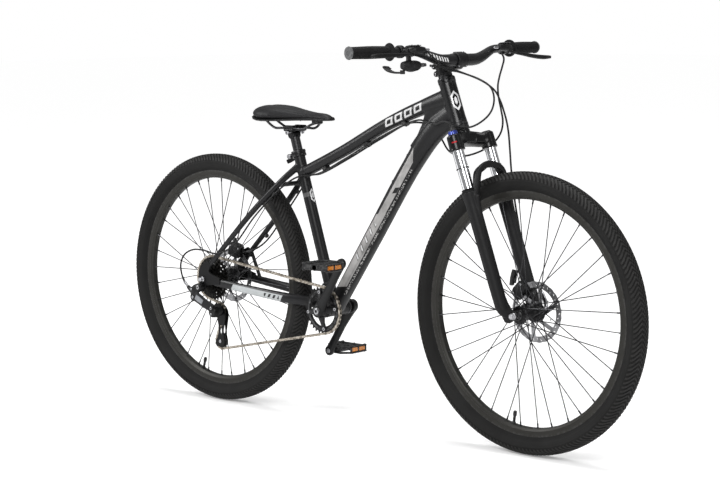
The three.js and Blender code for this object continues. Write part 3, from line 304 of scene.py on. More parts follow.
def bolt(at, direction, radius, height, sides=20):
    """A socket-head bolt seen from outside: a domed head with a six-sided recess."""
    depth = height * BOLT_RECESS_DEPTH
    rings = [
        [(radius * wide * c, radius * wide * s, height * up) for c, s in circle(sides)] for wide,
        up in BOLT_HEAD]
    hexagon = []
    for c, s in circle(sides):
        around = math.atan2(s, c) % (math.pi / 3) - math.pi / 6
        reach = radius * BOLT_RECESS_WIDTH / math.cos(around)
        hexagon.append((reach * c, reach * s))
    rings.append([(x, y, height) for x, y in hexagon])
    rings.append([(x, y, height - depth) for x, y in hexagon])
    along = np.array(direction, float)
    across = (0, 1, 0) if abs(along[1]) < 0.9 * np.linalg.norm(along) else (1, 0, 0)
    return moved(loft(rings), placement(at, direction, across))


# ---------- pieces ----------
def make(name, shape, material, body=None, replaces=()):
    """A finished piece: doubles merged, faces turned outwards and shaded smooth up to an angle.
    """
    points, faces = merge(shape) if isinstance(shape, list) else shape
    mesh = bpy.data.meshes.new(name)
    mesh.from_pydata((points * MM).tolist(), [], faces)
    work = bmesh.new()
    work.from_mesh(mesh)
    bmesh.ops.remove_doubles(work, verts=work.verts, dist=1e-6)
    bmesh.ops.recalc_face_normals(work, faces=work.faces)
    work.to_mesh(mesh)
    work.free()
    mesh.materials.append(material)
    mesh.polygons.foreach_set("use_smooth", [True] * len(mesh.polygons))
    mesh.set_sharp_from_angle(angle=SHARP_ANGLE)
    piece = bpy.data.objects.new(name, mesh)
    bpy.context.scene.collection.objects.link(piece)
    if body:
        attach(piece, body)
    if replaces:
        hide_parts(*replaces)
    return piece


def apply_modifiers(piece):
    """Turns a piece's modifiers into its mesh."""
    bpy.context.view_layer.update()
    graph = bpy.context.evaluated_depsgraph_get()
    made = bpy.data.meshes.new_from_object(piece.evaluated_get(graph))
    piece.modifiers.clear()
    piece.data = made
    return piece


def melted(name, shape, material, voxel, smoothing, body=None, replaces=()):
    """Overlapping shapes fused into one skin with soft fillets where they meet."""
    piece = make(name, shape, material)
    remesh = piece.modifiers.new("fuse", "REMESH")
    remesh.mode = "VOXEL"
    remesh.voxel_size = voxel * MM
    remesh.use_smooth_shade = True
    smooth = piece.modifiers.new("fillet", "SMOOTH")
    smooth.factor = 0.5
    smooth.iterations = smoothing
    apply_modifiers(piece)
    piece.data.polygons.foreach_set("use_smooth", [True] * len(piece.data.polygons))
    if body:
        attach(piece, body)
    if replaces:
        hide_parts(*replaces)
    return piece


# ---------- materials ----------
class Nodes:
    """A material's node tree, with short calls for the nodes this script uses."""

    def __init__(self, name):
        self.material = bpy.data.materials.new(name)
        self.material.use_nodes = True
        self.tree = self.material.node_tree
        self.surface = self.tree.nodes["Principled BSDF"]
        self.coordinates = self.new("ShaderNodeTexCoord").outputs["Object"]

    def new(self, kind, **settings):
        node = self.tree.nodes.new(kind)
        for key, value in settings.items():
            setattr(node, key, value)
        return node

    def feed(self, socket, value):
        if hasattr(value, "is_linked"):
            self.tree.links.new(value, socket)
        else:
            socket.default_value = value

    def math(self, operation, first, second=0.0, third=0.0):
        node = self.new("ShaderNodeMath", operation=operation)
        for socket, value in zip(node.inputs, (first, second, third)):
            self.feed(socket, value)
        return node.outputs[0]

    def noise(self, scale, detail=3.0, where=None):
        node = self.new("ShaderNodeTexNoise")
        self.feed(node.inputs["Vector"], self.coordinates if where is None else where)
        self.feed(node.inputs["Scale"], scale)
        self.feed(node.inputs["Detail"], detail)
        return node.outputs["Fac"]

    def cells(self, scale):
        node = self.new("ShaderNodeTexVoronoi", feature="DISTANCE_TO_EDGE")
        self.feed(node.inputs["Vector"], self.coordinates)
        self.feed(node.inputs["Scale"], scale)
        return node.outputs["Distance"]

    def stretched(self, x, y, z):
        node = self.new("ShaderNodeMapping")
        self.feed(node.inputs["Vector"], self.coordinates)
        self.feed(node.inputs["Scale"], (x, y, z))
        return node.outputs["Vector"]

    def ramp(self, value, low, high):
        """0 below low, 1 above high."""
        node = self.new("ShaderNodeMapRange", clamp=True)
        self.feed(node.inputs["Value"], value)
        self.feed(node.inputs["From Min"], low)
        self.feed(node.inputs["From Max"], high)
        return node.outputs["Result"]

    def mix(self, share, first, second):
        node = self.new("ShaderNodeMix", data_type="RGBA")
        self.feed(node.inputs["Factor"], share)
        self.feed(node.inputs["A"], first)
        self.feed(node.inputs["B"], second)
        return node.outputs["Result"]

    def blend(self, share, first, second):
        node = self.new("ShaderNodeMix", data_type="FLOAT")
        self.feed(node.inputs["Factor"], share)
        self.feed(node.inputs["A"], first)
        self.feed(node.inputs["B"], second)
        return node.outputs["Result"]

    def edges(self, low=0.52, high=0.6):
        """1 on outward edges, where handling rubs the finish."""
        return self.ramp(self.new("ShaderNodeNewGeometry").outputs["Pointiness"], low, high)

    def bump(self, height, distance, strength=0.5):
        node = self.new("ShaderNodeBump")
        self.feed(node.inputs["Height"], height)
        self.feed(node.inputs["Distance"], distance)
        self.feed(node.inputs["Strength"], strength)
        return node.outputs["Normal"]

    def parts(self, vector):
        """A vector's X, Y and Z."""
        node = self.new("ShaderNodeSeparateXYZ")
        self.feed(node.inputs[0], vector)
        return node.outputs

    def facing(self):
        return self.parts(self.new("ShaderNodeNewGeometry").outputs["Normal"])

    def axis(self, start, end):
        """Distances along and up from a straight line in the middle plane, given as (x, z) pairs."""
        x, _, z = self.place
        run = math.hypot(end[0] - start[0], end[1] - start[1])
        c, s = (end[0] - start[0]) / run, (end[1] - start[1]) / run
        dx, dz = self.math("SUBTRACT", x, start[0]), self.math("SUBTRACT", z, start[1])
        along = self.math("ADD", self.math("MULTIPLY", dx, c), self.math("MULTIPLY", dz, s))
        up = self.math("SUBTRACT", self.math("MULTIPLY", dz, c), self.math("MULTIPLY", dx, s))
        return along, up

    def within(self, value, low, high, soft=0.0006):
        """1 between low and high, with soft edges."""
        return self.math(
            "MULTIPLY", self.ramp(value, low - soft, low + soft), self.ramp(value, high + soft, high - soft))

    def fold(self, operation, *masks):
        made = masks[0]
        for mask in masks[1:]:
            made = self.math(operation, made, mask)
        return made

    def both(self, *masks):
        return self.fold("MULTIPLY", *masks)

    def either(self, *masks):
        return self.fold("MAXIMUM", *masks)

    def slanted(self, value, across, slope):
        return self.math("MULTIPLY_ADD", across, slope, value)

    def set(self, **values):
        for key, value in values.items():
            self.feed(self.surface.inputs[key.replace("_", " ")], value)


def rgb(value):
    return (*value, 1.0) if len(value) == 3 else (*value * 3, 1.0)


def finish(
    name, colour, roughness, metallic=0.0, mottle=0.25, mottle_scale=18, grain=900, grain_height=0.00008,
    wear=None, wear_share=0.5, coat=0.0, rough_spread=0.12, specular=0.22, extra=None,
):
    """A material with colour mottling, uneven roughness, a fine surface grain and worn edges."""
    nodes = Nodes(name)
    base, dark = rgb(colour), rgb(tuple(c * (1 - mottle) for c in colour))
    tone = nodes.mix(nodes.ramp(nodes.noise(mottle_scale), 0.35, 0.7), dark, base)
    if wear:
        rubbed = nodes.math("MULTIPLY", nodes.edges(), nodes.ramp(nodes.noise(140), 0.42, 0.62))
        tone = nodes.mix(nodes.math("MULTIPLY", rubbed, wear_share), tone, rgb(wear))
    uneven = nodes.math(
        "MULTIPLY_ADD", nodes.noise(mottle_scale * 3, 5), rough_spread, roughness - rough_spread / 2)
    height = nodes.noise(grain, 2)
    if extra:
        height = nodes.math("ADD", height, extra(nodes))
    nodes.set(
        Base_Color=tone, Roughness=uneven, Metallic=metallic, Coat_Weight=coat, Coat_Roughness=0.12,
        Specular_IOR_Level=specular,
        Normal=nodes.bump(height, grain_height),
    )
    return nodes.material


def brushed(name, colour, roughness, along):
    """Metal with fine scratches running one way."""
    nodes = Nodes(name)
    scratches = nodes.noise(1400, 2, nodes.stretched(*along))
    tone = nodes.mix(nodes.noise(30), rgb(tuple(c * 0.8 for c in colour)), rgb(colour))
    nodes.set(
        Base_Color=nodes.mix(
            nodes.math("MULTIPLY", scratches, 0.25), tone, rgb(tuple(c * 0.6 for c in colour))),
        Roughness=nodes.math("MULTIPLY_ADD", scratches, 0.18, roughness - 0.09), Metallic=1.0,
        Normal=nodes.bump(scratches, 0.00005, 0.4),
    )
    return nodes.material


ALLOY_WEAR = (0.32, 0.32, 0.33)
SATIN_BLACK = finish(
    "satin_black_alloy", (0.0055, 0.0055, 0.006), 0.36, 0.1, wear=ALLOY_WEAR, wear_share=0.25, coat=0.06,
    grain_height=0.00005)
GLOSS_BLACK = finish(
    "gloss_black_paint", (0.004, 0.004, 0.0045), 0.24, 0.05, mottle=0.15, wear=ALLOY_WEAR, wear_share=0.2,
    coat=0.2, grain=300, grain_height=0.00004, rough_spread=0.06)
PLATE_BLACK = finish(
    "blackened_plate", (0.005, 0.005, 0.0055), 0.42, 0.1, mottle=0.3, mottle_scale=40, specular=0.18,
    grain_height=0.00005)
MATT_BLACK = finish(
    "matt_black_casting", (0.008, 0.008, 0.0085), 0.5, 0.1, wear=ALLOY_WEAR, wear_share=0.35, grain=1300,
    grain_height=0.00012)
MOULDED = finish(
    "moulded_black_plastic", (0.0065, 0.0065, 0.007), 0.48, wear=(0.1, 0.1, 0.1), grain=1600,
    grain_height=0.00014)
DARK_PLASTIC = finish(
    "dark_grey_plastic", (0.015, 0.015, 0.0165), 0.42, mottle=0.18, wear=(0.2, 0.2, 0.2), grain=1800,
    grain_height=0.0001)
TYRE_RUBBER = finish(
    "tyre_rubber", (0.011, 0.0108, 0.0105), 0.66, mottle=0.3, mottle_scale=9, wear=(0.05, 0.05, 0.048),
    wear_share=0.7, specular=0.15, grain=1100, grain_height=0.0002, rough_spread=0.2,
    extra=lambda nodes: nodes.math("MULTIPLY", nodes.cells(420), 0.8))
# Painted light: the knobs get a lighter copy of the tyre rubber, so the darker casing between them reads as shaded
# grooves; the real rubber is all one colour.
TREAD_RUBBER_PAINTED_LIGHTER = finish(
    "tread_rubber", (0.021, 0.0205, 0.02), 0.6, mottle=0.3, mottle_scale=30, specular=0.2, grain=1100,
    grain_height=0.0002, rough_spread=0.2)
GRIP_RUBBER = finish(
    "grip_rubber", (0.006, 0.006, 0.0065), 0.62, mottle=0.2, wear=(0.03, 0.03, 0.03), specular=0.15,
    grain=2200, grain_height=0.0002)
GRIP_CAP = finish("grip_end_plastic", (0.09, 0.092, 0.095), 0.5, mottle=0.2, wear=(0.3, 0.3, 0.3))
HOSE_BLACK = finish(
    "hose_sheath", (0.009, 0.009, 0.0095), 0.38, mottle=0.15, grain=1500, grain_height=0.00006)
CHROME = finish(
    "stanchion_chrome", (0.82, 0.83, 0.85), 0.1, 1.0, mottle=0.04, mottle_scale=40, grain=700,
    grain_height=0.00001, rough_spread=0.06)
BOLT_STEEL = finish(
    "bolt_steel", (0.5, 0.5, 0.52), 0.28, 1.0, mottle=0.3, mottle_scale=60, grain_height=0.00004)
SPOKE_STEEL = finish(
    "spoke_dark_steel", (0.05, 0.05, 0.053), 0.34, 0.9, mottle=0.3, mottle_scale=60, grain_height=0.00003)
ROTOR_STEEL = brushed("rotor_steel", (0.3, 0.3, 0.31), 0.3, (1, 30, 1))
COG_STEEL = finish(
    "cog_dark_steel", (0.014, 0.0136, 0.0132), 0.42, 0.7, mottle=0.35, mottle_scale=45,
    wear=(0.2, 0.19, 0.17), wear_share=0.15, grain_height=0.00005)
CHAIN_STEEL = finish(
    "chain_steel", (0.3, 0.26, 0.21), 0.34, 0.95, mottle=0.45, mottle_scale=70, wear=(0.6, 0.56, 0.5),
    wear_share=0.7, grain_height=0.00006)
RIM_BLACK = finish(
    "rim_anodising", (0.03, 0.029, 0.026), 0.42, 0.4, mottle=0.2, mottle_scale=12, wear=ALLOY_WEAR,
    wear_share=0.3, grain_height=0.00005)
RAIL_STEEL = finish("rail_steel", (0.03, 0.03, 0.032), 0.3, 0.7, wear=ALLOY_WEAR, grain_height=0.00004)
DIAL_BLUE = finish(
    "anodised_blue", (0.03, 0.05, 0.3), 0.3, 0.8, mottle=0.2, wear=(0.4, 0.45, 0.7), grain_height=0.00004)
LINK_GREY = finish(
    "brushed_link_grey", (0.3, 0.31, 0.33), 0.32, 0.8, mottle=0.25, mottle_scale=90, grain_height=0.00005)
ACCENT_RED = finish("accent_red", (0.35, 0.015, 0.02), 0.35, 0.3, mottle=0.2)
SADDLE_SKIN = finish(
    "saddle_leatherette", (0.008, 0.008, 0.009), 0.5, mottle=0.2, mottle_scale=25, wear=(0.04, 0.04, 0.04),
    wear_share=0.4, specular=0.25, grain=1500, grain_height=0.00016,
    extra=lambda nodes: nodes.math("MULTIPLY", nodes.cells(650), 1.4))


def reflector_amber():
    """Clear amber plastic over a grid of small prisms, with a faint painted glow."""
    nodes = Nodes("reflector_amber")
    prisms = nodes.cells(320)
    tone = nodes.mix(nodes.ramp(prisms, 0.02, 0.2), rgb((0.3, 0.07, 0.0)), rgb((0.72, 0.25, 0.01)))
    # The faint emission in the lens colour is a painted glow, standing in for light that the prisms send back.
    nodes.set(
        Base_Color=tone, Roughness=nodes.blend(nodes.noise(200), 0.12, 0.3), Coat_Weight=0.8,
        Coat_Roughness=0.06, Emission_Color=tone, Emission_Strength=0.03,
        Normal=nodes.bump(prisms, 0.0006, 0.6),
    )
    return nodes.material


AMBER = reflector_amber()


# ---------- wheels ----------
TREAD_PITCHES = 180
BAR_LEAN = [(10, 0.0), (14, 0.15), (19, 0.6), (25, 1.2), (30, 1.55), (34, 1.7)]  # distance across, pitches
BAR_HEIGHT = 2.0
BLOCK_HEIGHT = 1.5
TYRE_SECTION = [
    (311.5, 9.4), (313.5, 10.9), (317.6, 12.9), (321, 16), (326, 20.4), (332, 23.9), (339, 26), (345, 26.4),
    (350.5, 25.2), (355, 22.3), (358.6, 18.2), (361.3, 13), (362.9, 7), (363.5, 0),
]
SPOKES = 36
SPOKE_RADIUS = 1.3
NIPPLE_RADIUS = 2.1
RIM_BED = 294.0
FLANGE_RADIUS = 24.0
ROTOR_RADIUS = 80.0
ROTOR_HALF = 0.9
ROTOR_ARMS = 6
ROTOR_WAVES = 24
ROTOR_SLOTS = 36
SKEWER_RADIUS = 2.6
REAR_HUB = {"flanges": (-21, 33), "ends": (-25, 60), "rotor_y": 50}  # Y of the flanges, shell's ends and disc
FRONT_HUB = {"flanges": (-33, 23), "ends": (-43, 43), "rotor_y": 37}
REAR_VALVE_END = (-83, 86)
FRONT_VALVE_END = (1109, 87)
CROSS_ANGLE = math.radians(60)


def polar(axle, angle, radius, y):
    return vec(axle[0] + radius * math.cos(angle), y, axle[2] + radius * math.sin(angle))


def tyre_carcass(axle):
    """The tyre's casing: outside and inside, smooth but for a moulding line on each sidewall."""
    half, _ = spline([(r, y, 0) for r, y in TYRE_SECTION], 44)
    outside = [(r, y) for r, y, _ in half]
    ridge = [(r, y + (0.5 if 329.5 < r < 331.5 or 341 < r < 342.4 else 0)) for r, y in outside]
    inside = [(309.8 + (r - 311.5) * 0.955, max(0.0, y - 2.2)) for r, y, _ in half[::4]]
    right = [(r, -y) for r, y in ridge]
    section = ridge + right[::-1][1:] + [(r, -y) for r, y in inside] + inside[::-1][1:]
    return turned(section, axle, 160)


def tread_line():
    """The casing's outer line from the middle of the tread outwards, and the distance along it."""
    half, _ = spline([(r, y, 0) for r, y in TYRE_SECTION[::-1]], 60)
    line = np.array(half)[:, :2]
    steps = np.linalg.norm(np.diff(line, axis=0), axis=1)
    return line, np.concatenate([[0.0], np.cumsum(steps)])


TREAD_LINE, TREAD_RUN = tread_line()


def tread_surface(axle, angle, distance, height):
    """A point on the tread: distance runs across it from the middle, round the shoulder."""
    reach = abs(distance)
    here, beyond = (
        np.array([np.interp(reach + ahead, TREAD_RUN, column) for column in TREAD_LINE.T])
        for ahead in (-0.4, 0.4))
    along = (beyond - here) / np.linalg.norm(beyond - here)
    radius, width = (here + beyond) / 2 + np.array([along[1], -along[0]]) * height
    return polar(axle, angle, radius, math.copysign(width, distance))


def tread_bar(axle, angle, width, line, side, height):
    """One bar of rubber; line lists how far across it runs, and how far it leans there."""
    rings = []
    for index, (distance, lean) in enumerate(line):
        narrow = 0.8 if index in (0, len(line) - 1) else 1.0
        spread = width * narrow / 2
        turn, across = angle + lean, side * distance
        low = [tread_surface(axle, turn + s * spread, across, -0.8) for s in (-1, 1)]
        top = [tread_surface(axle, turn + s * spread * 0.84, across, height) for s in (1, -1)]
        rings.append(low + top)
    return loft(rings)


def tyre_tread(axle):
    """Small square blocks in the middle and slanted, slightly curved bars down each shoulder."""
    step = 2 * math.pi / TREAD_PITCHES
    bar = [(reach, -lean * step) for reach, lean in BAR_LEAN]
    parts = []
    for pitch in range(TREAD_PITCHES):
        angle = pitch * step
        for side, shift in ((-1, 0.0), (1, 0.5)):
            parts.append(tread_bar(axle, angle + shift * step, 0.58 * step, bar, side, BAR_HEIGHT))
            for near, far, stagger in ((0.5, 4.7, 0.25), (5.3, 9.4, 0.7)):
                parts.append(tread_bar(
                    axle, angle + (shift + stagger) * step, 0.7 * step, [(near, 0), (far, 0)], side,
                    BLOCK_HEIGHT))
    return merge(parts)


def rim(axle):
    half = [
        (RIM_BED, 0), (RIM_BED, 5), (295, 8.4), (298, 11), (301.4, 12.2), (302.2, 12.9), (303, 12.3),
        (316.4, 12.6), (317.3, 12.0), (316.6, 10.6), (309, 10.2), (306.5, 8), (306, 0),
    ]
    return turned(half + [(r, -y) for r, y in half[1:-1]][::-1], axle, 160)


def spoke_angles(index, valve_angle):
    """Where a spoke meets the hub and the rim, and the side it starts from."""
    hole = 2 * math.pi / SPOKES
    left = index % 2
    pair = index // 2
    rim_angle = valve_angle + hole / 2 + index * hole
    hub_angle = rim_angle + (1 if pair % 2 else -1) * CROSS_ANGLE
    return hub_angle, rim_angle, left, pair


def spokes(axle, flanges, valve_angle):
    wires, nipples = [], []
    for index in range(SPOKES):
        hub_angle, rim_angle, left, pair = spoke_angles(index, valve_angle)
        outward = (1 if left else -1) * (1 if pair % 2 else -1)
        y = flanges[left] + outward * 2.6
        hub = polar(axle, hub_angle, FLANGE_RADIUS - 2.6, y)
        end = polar(axle, rim_angle, RIM_BED, 3.2 if left else -3.2)
        along = (end - hub) / np.linalg.norm(end - hub)
        inside = polar(axle, hub_angle, FLANGE_RADIUS - 2.6, flanges[left] - outward * 3.4)
        bend = hub + along * 2.5
        elbow = hub - vec(0, outward * 1.0, 0)
        wires.append(tube([inside, elbow, bend, end], SPOKE_RADIUS, 1, 8, smooth=False))
        wires.append(rod(inside, inside - vec(0, outward * 1.2, 0), 2.1, sides=8))
        nipples.append(rod(end - along * 11, end + along * 3, NIPPLE_RADIUS, sides=8))
        nipples.append(rod(end - along * 1.5, end + along * 1.0, NIPPLE_RADIUS + 1.0, sides=8))
    return merge(wires), merge(nipples)


def valve(axle, angle):
    """A car-type valve with its cap, standing in towards the hub."""
    outward = vec(math.cos(angle), 0, math.sin(angle))
    foot = polar(axle, angle, RIM_BED + 1, 0)
    stem = rod(foot, foot - outward * 22, 3.7, sides=16)
    nut = rod(foot - outward * 1, foot - outward * 4, 6, sides=6)
    cap = [rod(foot - outward * 21, foot - outward * 34, 4.6, 4.2, sides=20)]
    for c, s in circle(10):
        side = vec(-outward[2], 0, outward[0]) * c * 4.5 + vec(0, s * 4.5, 0)
        cap.append(rod(foot - outward * 23 + side, foot - outward * 32 + side * 0.95, 0.6, sides=6))
    return merge(stem, nut, *cap)


def hub(axle, flanges, ends, rotor_y):
    right, left = flanges
    profile = [
        (6, ends[0]), (11, ends[0]), (13.5, ends[0] + 2), (14, right - 6), (16, right - 3.4),
        (FLANGE_RADIUS - 1, right - 2), (FLANGE_RADIUS, right - 1), (FLANGE_RADIUS, right + 1),
        (FLANGE_RADIUS - 1, right + 2), (17, right + 3.4), (13.4, right + 9), (12.6, (right + left) / 2),
        (13.4, left - 9), (17, left - 3.4), (FLANGE_RADIUS - 1, left - 2), (FLANGE_RADIUS, left - 1),
        (FLANGE_RADIUS, left + 1), (FLANGE_RADIUS - 1, left + 2), (18, left + 3.4), (20, rotor_y - 5),
        (23, rotor_y - 3), (23, rotor_y - 1.2), (15, rotor_y - 1.2), (15, rotor_y + 2),
        (13.5, ends[1] - 2), (11, ends[1]), (6, ends[1]),
    ]
    return turned(profile, axle, 56)


def rotor(axle, y):
    """A brake disc: a slotted ring on six swept arms, on a six-bolt carrier."""
    outline, holes = [], []
    for i in range(ROTOR_WAVES * 8):
        angle = 2 * math.pi * i / (ROTOR_WAVES * 8)
        radius = ROTOR_RADIUS - 0.3 - 1.1 * (1 + math.cos(ROTOR_WAVES * angle)) / 2
        outline.append((axle[0] + radius * math.cos(angle), axle[2] + radius * math.sin(angle)))
    holes.append(ring_outline(axle, 17, 36))
    for k in range(ROTOR_ARMS):
        start = 2 * math.pi * k / ROTOR_ARMS
        window = []
        for share in np.linspace(0.09, 0.91, 9):
            angle = start + share * 2 * math.pi / ROTOR_ARMS + 0.36
            window.append(polar(axle, angle, 63.5, 0))
        for share in np.linspace(0.8, 0.2, 5):
            angle = start + share * 2 * math.pi / ROTOR_ARMS
            window.append(polar(axle, angle, 27.5, 0))
        holes.append(flat(window))
    for k in range(ROTOR_SLOTS):
        angle = 2 * math.pi * k / ROTOR_SLOTS
        inner, outer = (67.2, 70.8) if k % 2 else (70.6, 75.4)
        lean, half = 0.05, 0.022
        slot = [
            polar(axle, angle - half, inner, 0), polar(axle, angle + half, inner, 0),
            polar(axle, angle + half + lean, outer, 0), polar(axle, angle - half + lean, outer, 0),
        ]
        holes.append(flat(slot))
    for k in range(ROTOR_ARMS):
        holes.append(ring_outline(polar(axle, (k + 0.5) * math.pi / 3 + 0.18, 48, 0), 1.7, 10))
    return plate(outline, y - ROTOR_HALF, y + ROTOR_HALF, holes)


def rotor_carrier(axle, y):
    """The black carrier and its six bolts, on the outer side of the disc."""
    profile = [
        (15.5, y + 1), (25.5, y + 1), (26.5, y + 1.8), (26, y + 3), (19, y + 3.6), (17.5, y + 5),
        (15.5, y + 5)]
    ring = turned(profile, axle, 48)
    bolts = [bolt(polar(axle, k * math.pi / 3 + 0.3, 22, y + 2.8), (0, 1, 0), 3.8, 2.6) for k in range(6)]
    return ring, merge(bolts)


def build_wheel(label, axle, flanges, ends, rotor_y, valve_end):
    body = label + "_wheel"
    valve_angle = math.atan2(valve_end[1] - axle[2], valve_end[0] - axle[0])
    make(label + "_tyre_casing", tyre_carcass(axle), TYRE_RUBBER, body, [label + "_tyre"])
    make(label + "_tyre_tread", tyre_tread(axle), TREAD_RUBBER_PAINTED_LIGHTER, body)
    make(label + "_rim_hoop", rim(axle), RIM_BLACK, body, [label + "_rim"])
    wires, nipples = spokes(axle, flanges, valve_angle)
    make(label + "_spoke_set", wires, SPOKE_STEEL, body, [label + "_spokes"])
    make(label + "_nipples", nipples, SPOKE_STEEL, body)
    make(label + "_valve", valve(axle, valve_angle), MOULDED, body)
    make(label + "_hub_shell", hub(axle, flanges, ends, rotor_y), SATIN_BLACK, body, [label + "_hub"])
    make(label + "_brake_disc", rotor(axle, rotor_y), ROTOR_STEEL, body, [label + "_rotor"])
    ring, bolts = rotor_carrier(axle, rotor_y)
    make(label + "_disc_carrier", ring, SATIN_BLACK, body)
    make(label + "_disc_bolts", bolts, BOLT_STEEL, body)


def quick_release(axle, lock_half, dropout_outer):
    """The skewer's shaft with its locknuts and end nut."""
    parts = [cross_rod(axle, -(dropout_outer + 10), dropout_outer + 12, SKEWER_RADIUS)]
    for side in (-1, 1):
        inner = axle + vec(0, side * (lock_half - 6), 0)
        parts.append(rod(inner, axle + vec(0, side * (lock_half - 0.3), 0), 8.5, sides=6))
        foot = axle + vec(0, side * (dropout_outer + 0.3), 0)
        parts.append(rod(foot, foot + vec(0, side * 4, 0), 9, 8.2, chamfer=1))
    nut = axle - vec(0, dropout_outer + 4, 0)
    parts.append(rod(nut, nut - vec(0, 9, 0), 8.4, 6.2, chamfer=1.5))
    for c, s in circle(12):
        parts.append(rod(nut + vec(8 * c, -1, 8 * s), nut + vec(6.6 * c, -8, 6.6 * s), 0.8, sides=6))
    cup = axle + vec(0, dropout_outer + 4, 0)
    parts.append(rod(cup, cup + vec(0, 6, 0), 8.2, 7.4, chamfer=1))
    return merge(parts)


def cam_lever(pivot, handle, across, radius):
    """A cam barrel with a flat curved handle."""
    across = np.array(across, float) / np.linalg.norm(across)
    barrel = rod(pivot - across * 8, pivot + across * 8, radius, sides=32, chamfer=1.2)
    blade = tapered([pivot, *handle], [(12, 8), (13, 6), (14, 5.4), (12, 5)], 16, oval(16, 2.8), across)
    return [barrel, blade, rod(pivot - across * 8.6, pivot - across * 7.6, radius * 0.5)]


def build_quick_release(label, axle, body, lock_half, dropout_outer, cam_y, handle, across):
    shape = quick_release(axle, lock_half, dropout_outer)
    make(label + "_quick_release", shape, BOLT_STEEL, body, [label + "_axle"])
    lever = cam_lever(axle + vec(0, cam_y, 0), [vec(*point) for point in handle], across, 8)
    node = label + "_skewer_lever"
    melted(label + "_lever", lever, BOLT_STEEL, 0.7, 4, node, [node])


build_wheel("rear", REAR_AXLE, valve_end=REAR_VALVE_END, **REAR_HUB)
build_wheel("front", FRONT_AXLE, valve_end=FRONT_VALVE_END, **FRONT_HUB)
build_quick_release(
    "rear", REAR_AXLE, "frame", 67.5, 73.5, 91, [(-18, 93, 384), (-31, 92, 394), (-44, 88, 404)],
    (0.7, 0, 0.7))
build_quick_release(
    "front", FRONT_AXLE, "fork_lowers", 50, 58, 76, [(1142, 89, 384), (1131, 92, 400), (1120, 92, 416)],
    (0.8, 0, 0.6))


# ---------- frame ----------
TOP_TUBE = [(352, 0, 690), (511, 0, 758), (680, 0, 838), (800, 0, 883), (900, 0, 912)]
TOP_TUBE_SIZES = [(32, 32), (34, 32), (36, 34), (38, 40), (38, 56)]
DOWN_TUBE = [(474, 0, 322), (620, 0, 528), (760, 0, 725), (846, 0, 826), (914, 0, 872)]
DOWN_TUBE_SIZES = [(44, 44), (46, 48), (46, 50), (44, 62), (40, 66)]
SEAT_TUBE_LENGTH = 455
HEAD_TUBE_LENGTH = 128
SEATSTAY = [(340, 10, 708), (300, 40, 664), (209, 60, 580), (20, 69, 402)]
SEATSTAY_SIZES = [(18, 20), (16, 18), (15, 17), (9, 16)]
CHAINSTAY = [(462, 20, 322), (404, 31, 332), (330, 50, 338), (46, 69, 362)]
CHAINSTAY_SIZES = [(20, 32), (16, 30), (18, 30), (9, 24)]
HANGER_BOLT = vec(-2, 0, 344)
DROPOUT_INNER = 67.5
DROPOUT_OUTER = 73.5
GUSSET = [(768, 782), (795, 812), (812, 842), (824, 874), (880, 896), (905, 880), (850, 800)]
GUSSET_HALF_WIDTH = 17
HEAD_BADGE_HEIGHT = 66
HEAD_BADGE_TURN = math.radians(-26)
SEAT_BADGE_HEIGHT = 323
BOSS_STATIONS = (42, 53)  # hundredths of the way up the down tube
BOSS_DIRECTION = vec(-0.81, 0, 0.586)
FRAME_VOXEL = 2.2


def down_tube_marks(nodes):
    """A long slanted silver blade, dark slashes in it and a speckled edge, then the pale slashes."""
    along, up = nodes.axis((0.474, 0.322), (0.760, 0.725))
    lean = nodes.slanted(along, up, 0.9)
    lower = nodes.both(nodes.within(lean, 0.075, 0.335), nodes.within(up, -0.013, 0.014))
    upper = nodes.both(
        nodes.within(nodes.slanted(along, up, -1.6), 0.30, 0.54), nodes.within(up, -0.012, 0.008))
    place_in_row = nodes.math("FRACT", nodes.math("MULTIPLY", nodes.slanted(along, up, -0.55), 34))
    slashes = nodes.both(
        nodes.within(place_in_row, 0.0, 0.4, 0.04), nodes.within(along, 0.165, 0.30),
        nodes.within(up, -0.006, 0.010))
    notch = nodes.both(nodes.within(lean, 0.405, 0.425), nodes.within(up, -0.012, -0.001))
    blade = nodes.both(
        nodes.either(lower, upper), nodes.math("SUBTRACT", 1, nodes.either(slashes, notch)))
    speckle_noise = nodes.noise(260, 1)
    speckle = nodes.both(
        nodes.within(along, 0.06, 0.50), nodes.within(up, -0.0195, -0.0155, 0.0004),
        nodes.ramp(speckle_noise, 0.5, 0.54))
    light_slashes = nodes.both(
        slashes, nodes.within(up, -0.005, 0.009), nodes.within(place_in_row, 0.08, 0.3, 0.03))
    return blade, speckle, light_slashes


def top_tube_marks(nodes):
    """Four open slanted shapes near the head."""
    along, up = nodes.axis((0.680, 0.838), (0.800, 0.883))
    row = nodes.math("MULTIPLY", nodes.slanted(along, up, -0.35), 27)
    cell = nodes.math("FRACT", row)
    outer = nodes.both(nodes.within(cell, 0.08, 0.84, 0.02), nodes.within(up, -0.0095, 0.0105))
    inner = nodes.both(nodes.within(cell, 0.26, 0.66, 0.02), nodes.within(up, -0.005, 0.006))
    return nodes.both(outer, nodes.math("SUBTRACT", 1, inner), nodes.within(row, 0.0, 4.0, 0.01))


def chainstay_block(nodes, y, facing):
    """A silver-grey block on the right chainstay's outer flank, with dark slanted shapes in it."""
    along, up = nodes.axis((0.046, 0.362), (0.330, 0.338))
    cell = nodes.math("FRACT", nodes.math("MULTIPLY", nodes.slanted(along, up, -0.6), 55))
    marks = nodes.both(
        nodes.within(cell, 0.25, 0.7, 0.04), nodes.within(along, 0.205, 0.262),
        nodes.within(up, -0.0075, 0.003))
    return nodes.both(
        nodes.within(nodes.slanted(along, up, -0.5), 0.078, 0.272), nodes.within(up, -0.0125, 0.0065),
        nodes.math("SUBTRACT", 1, marks),
        nodes.ramp(nodes.math("MULTIPLY", facing[1], -1), 0.2, 0.3),
        nodes.ramp(nodes.math("MULTIPLY", y, -1), 0.02, 0.03))


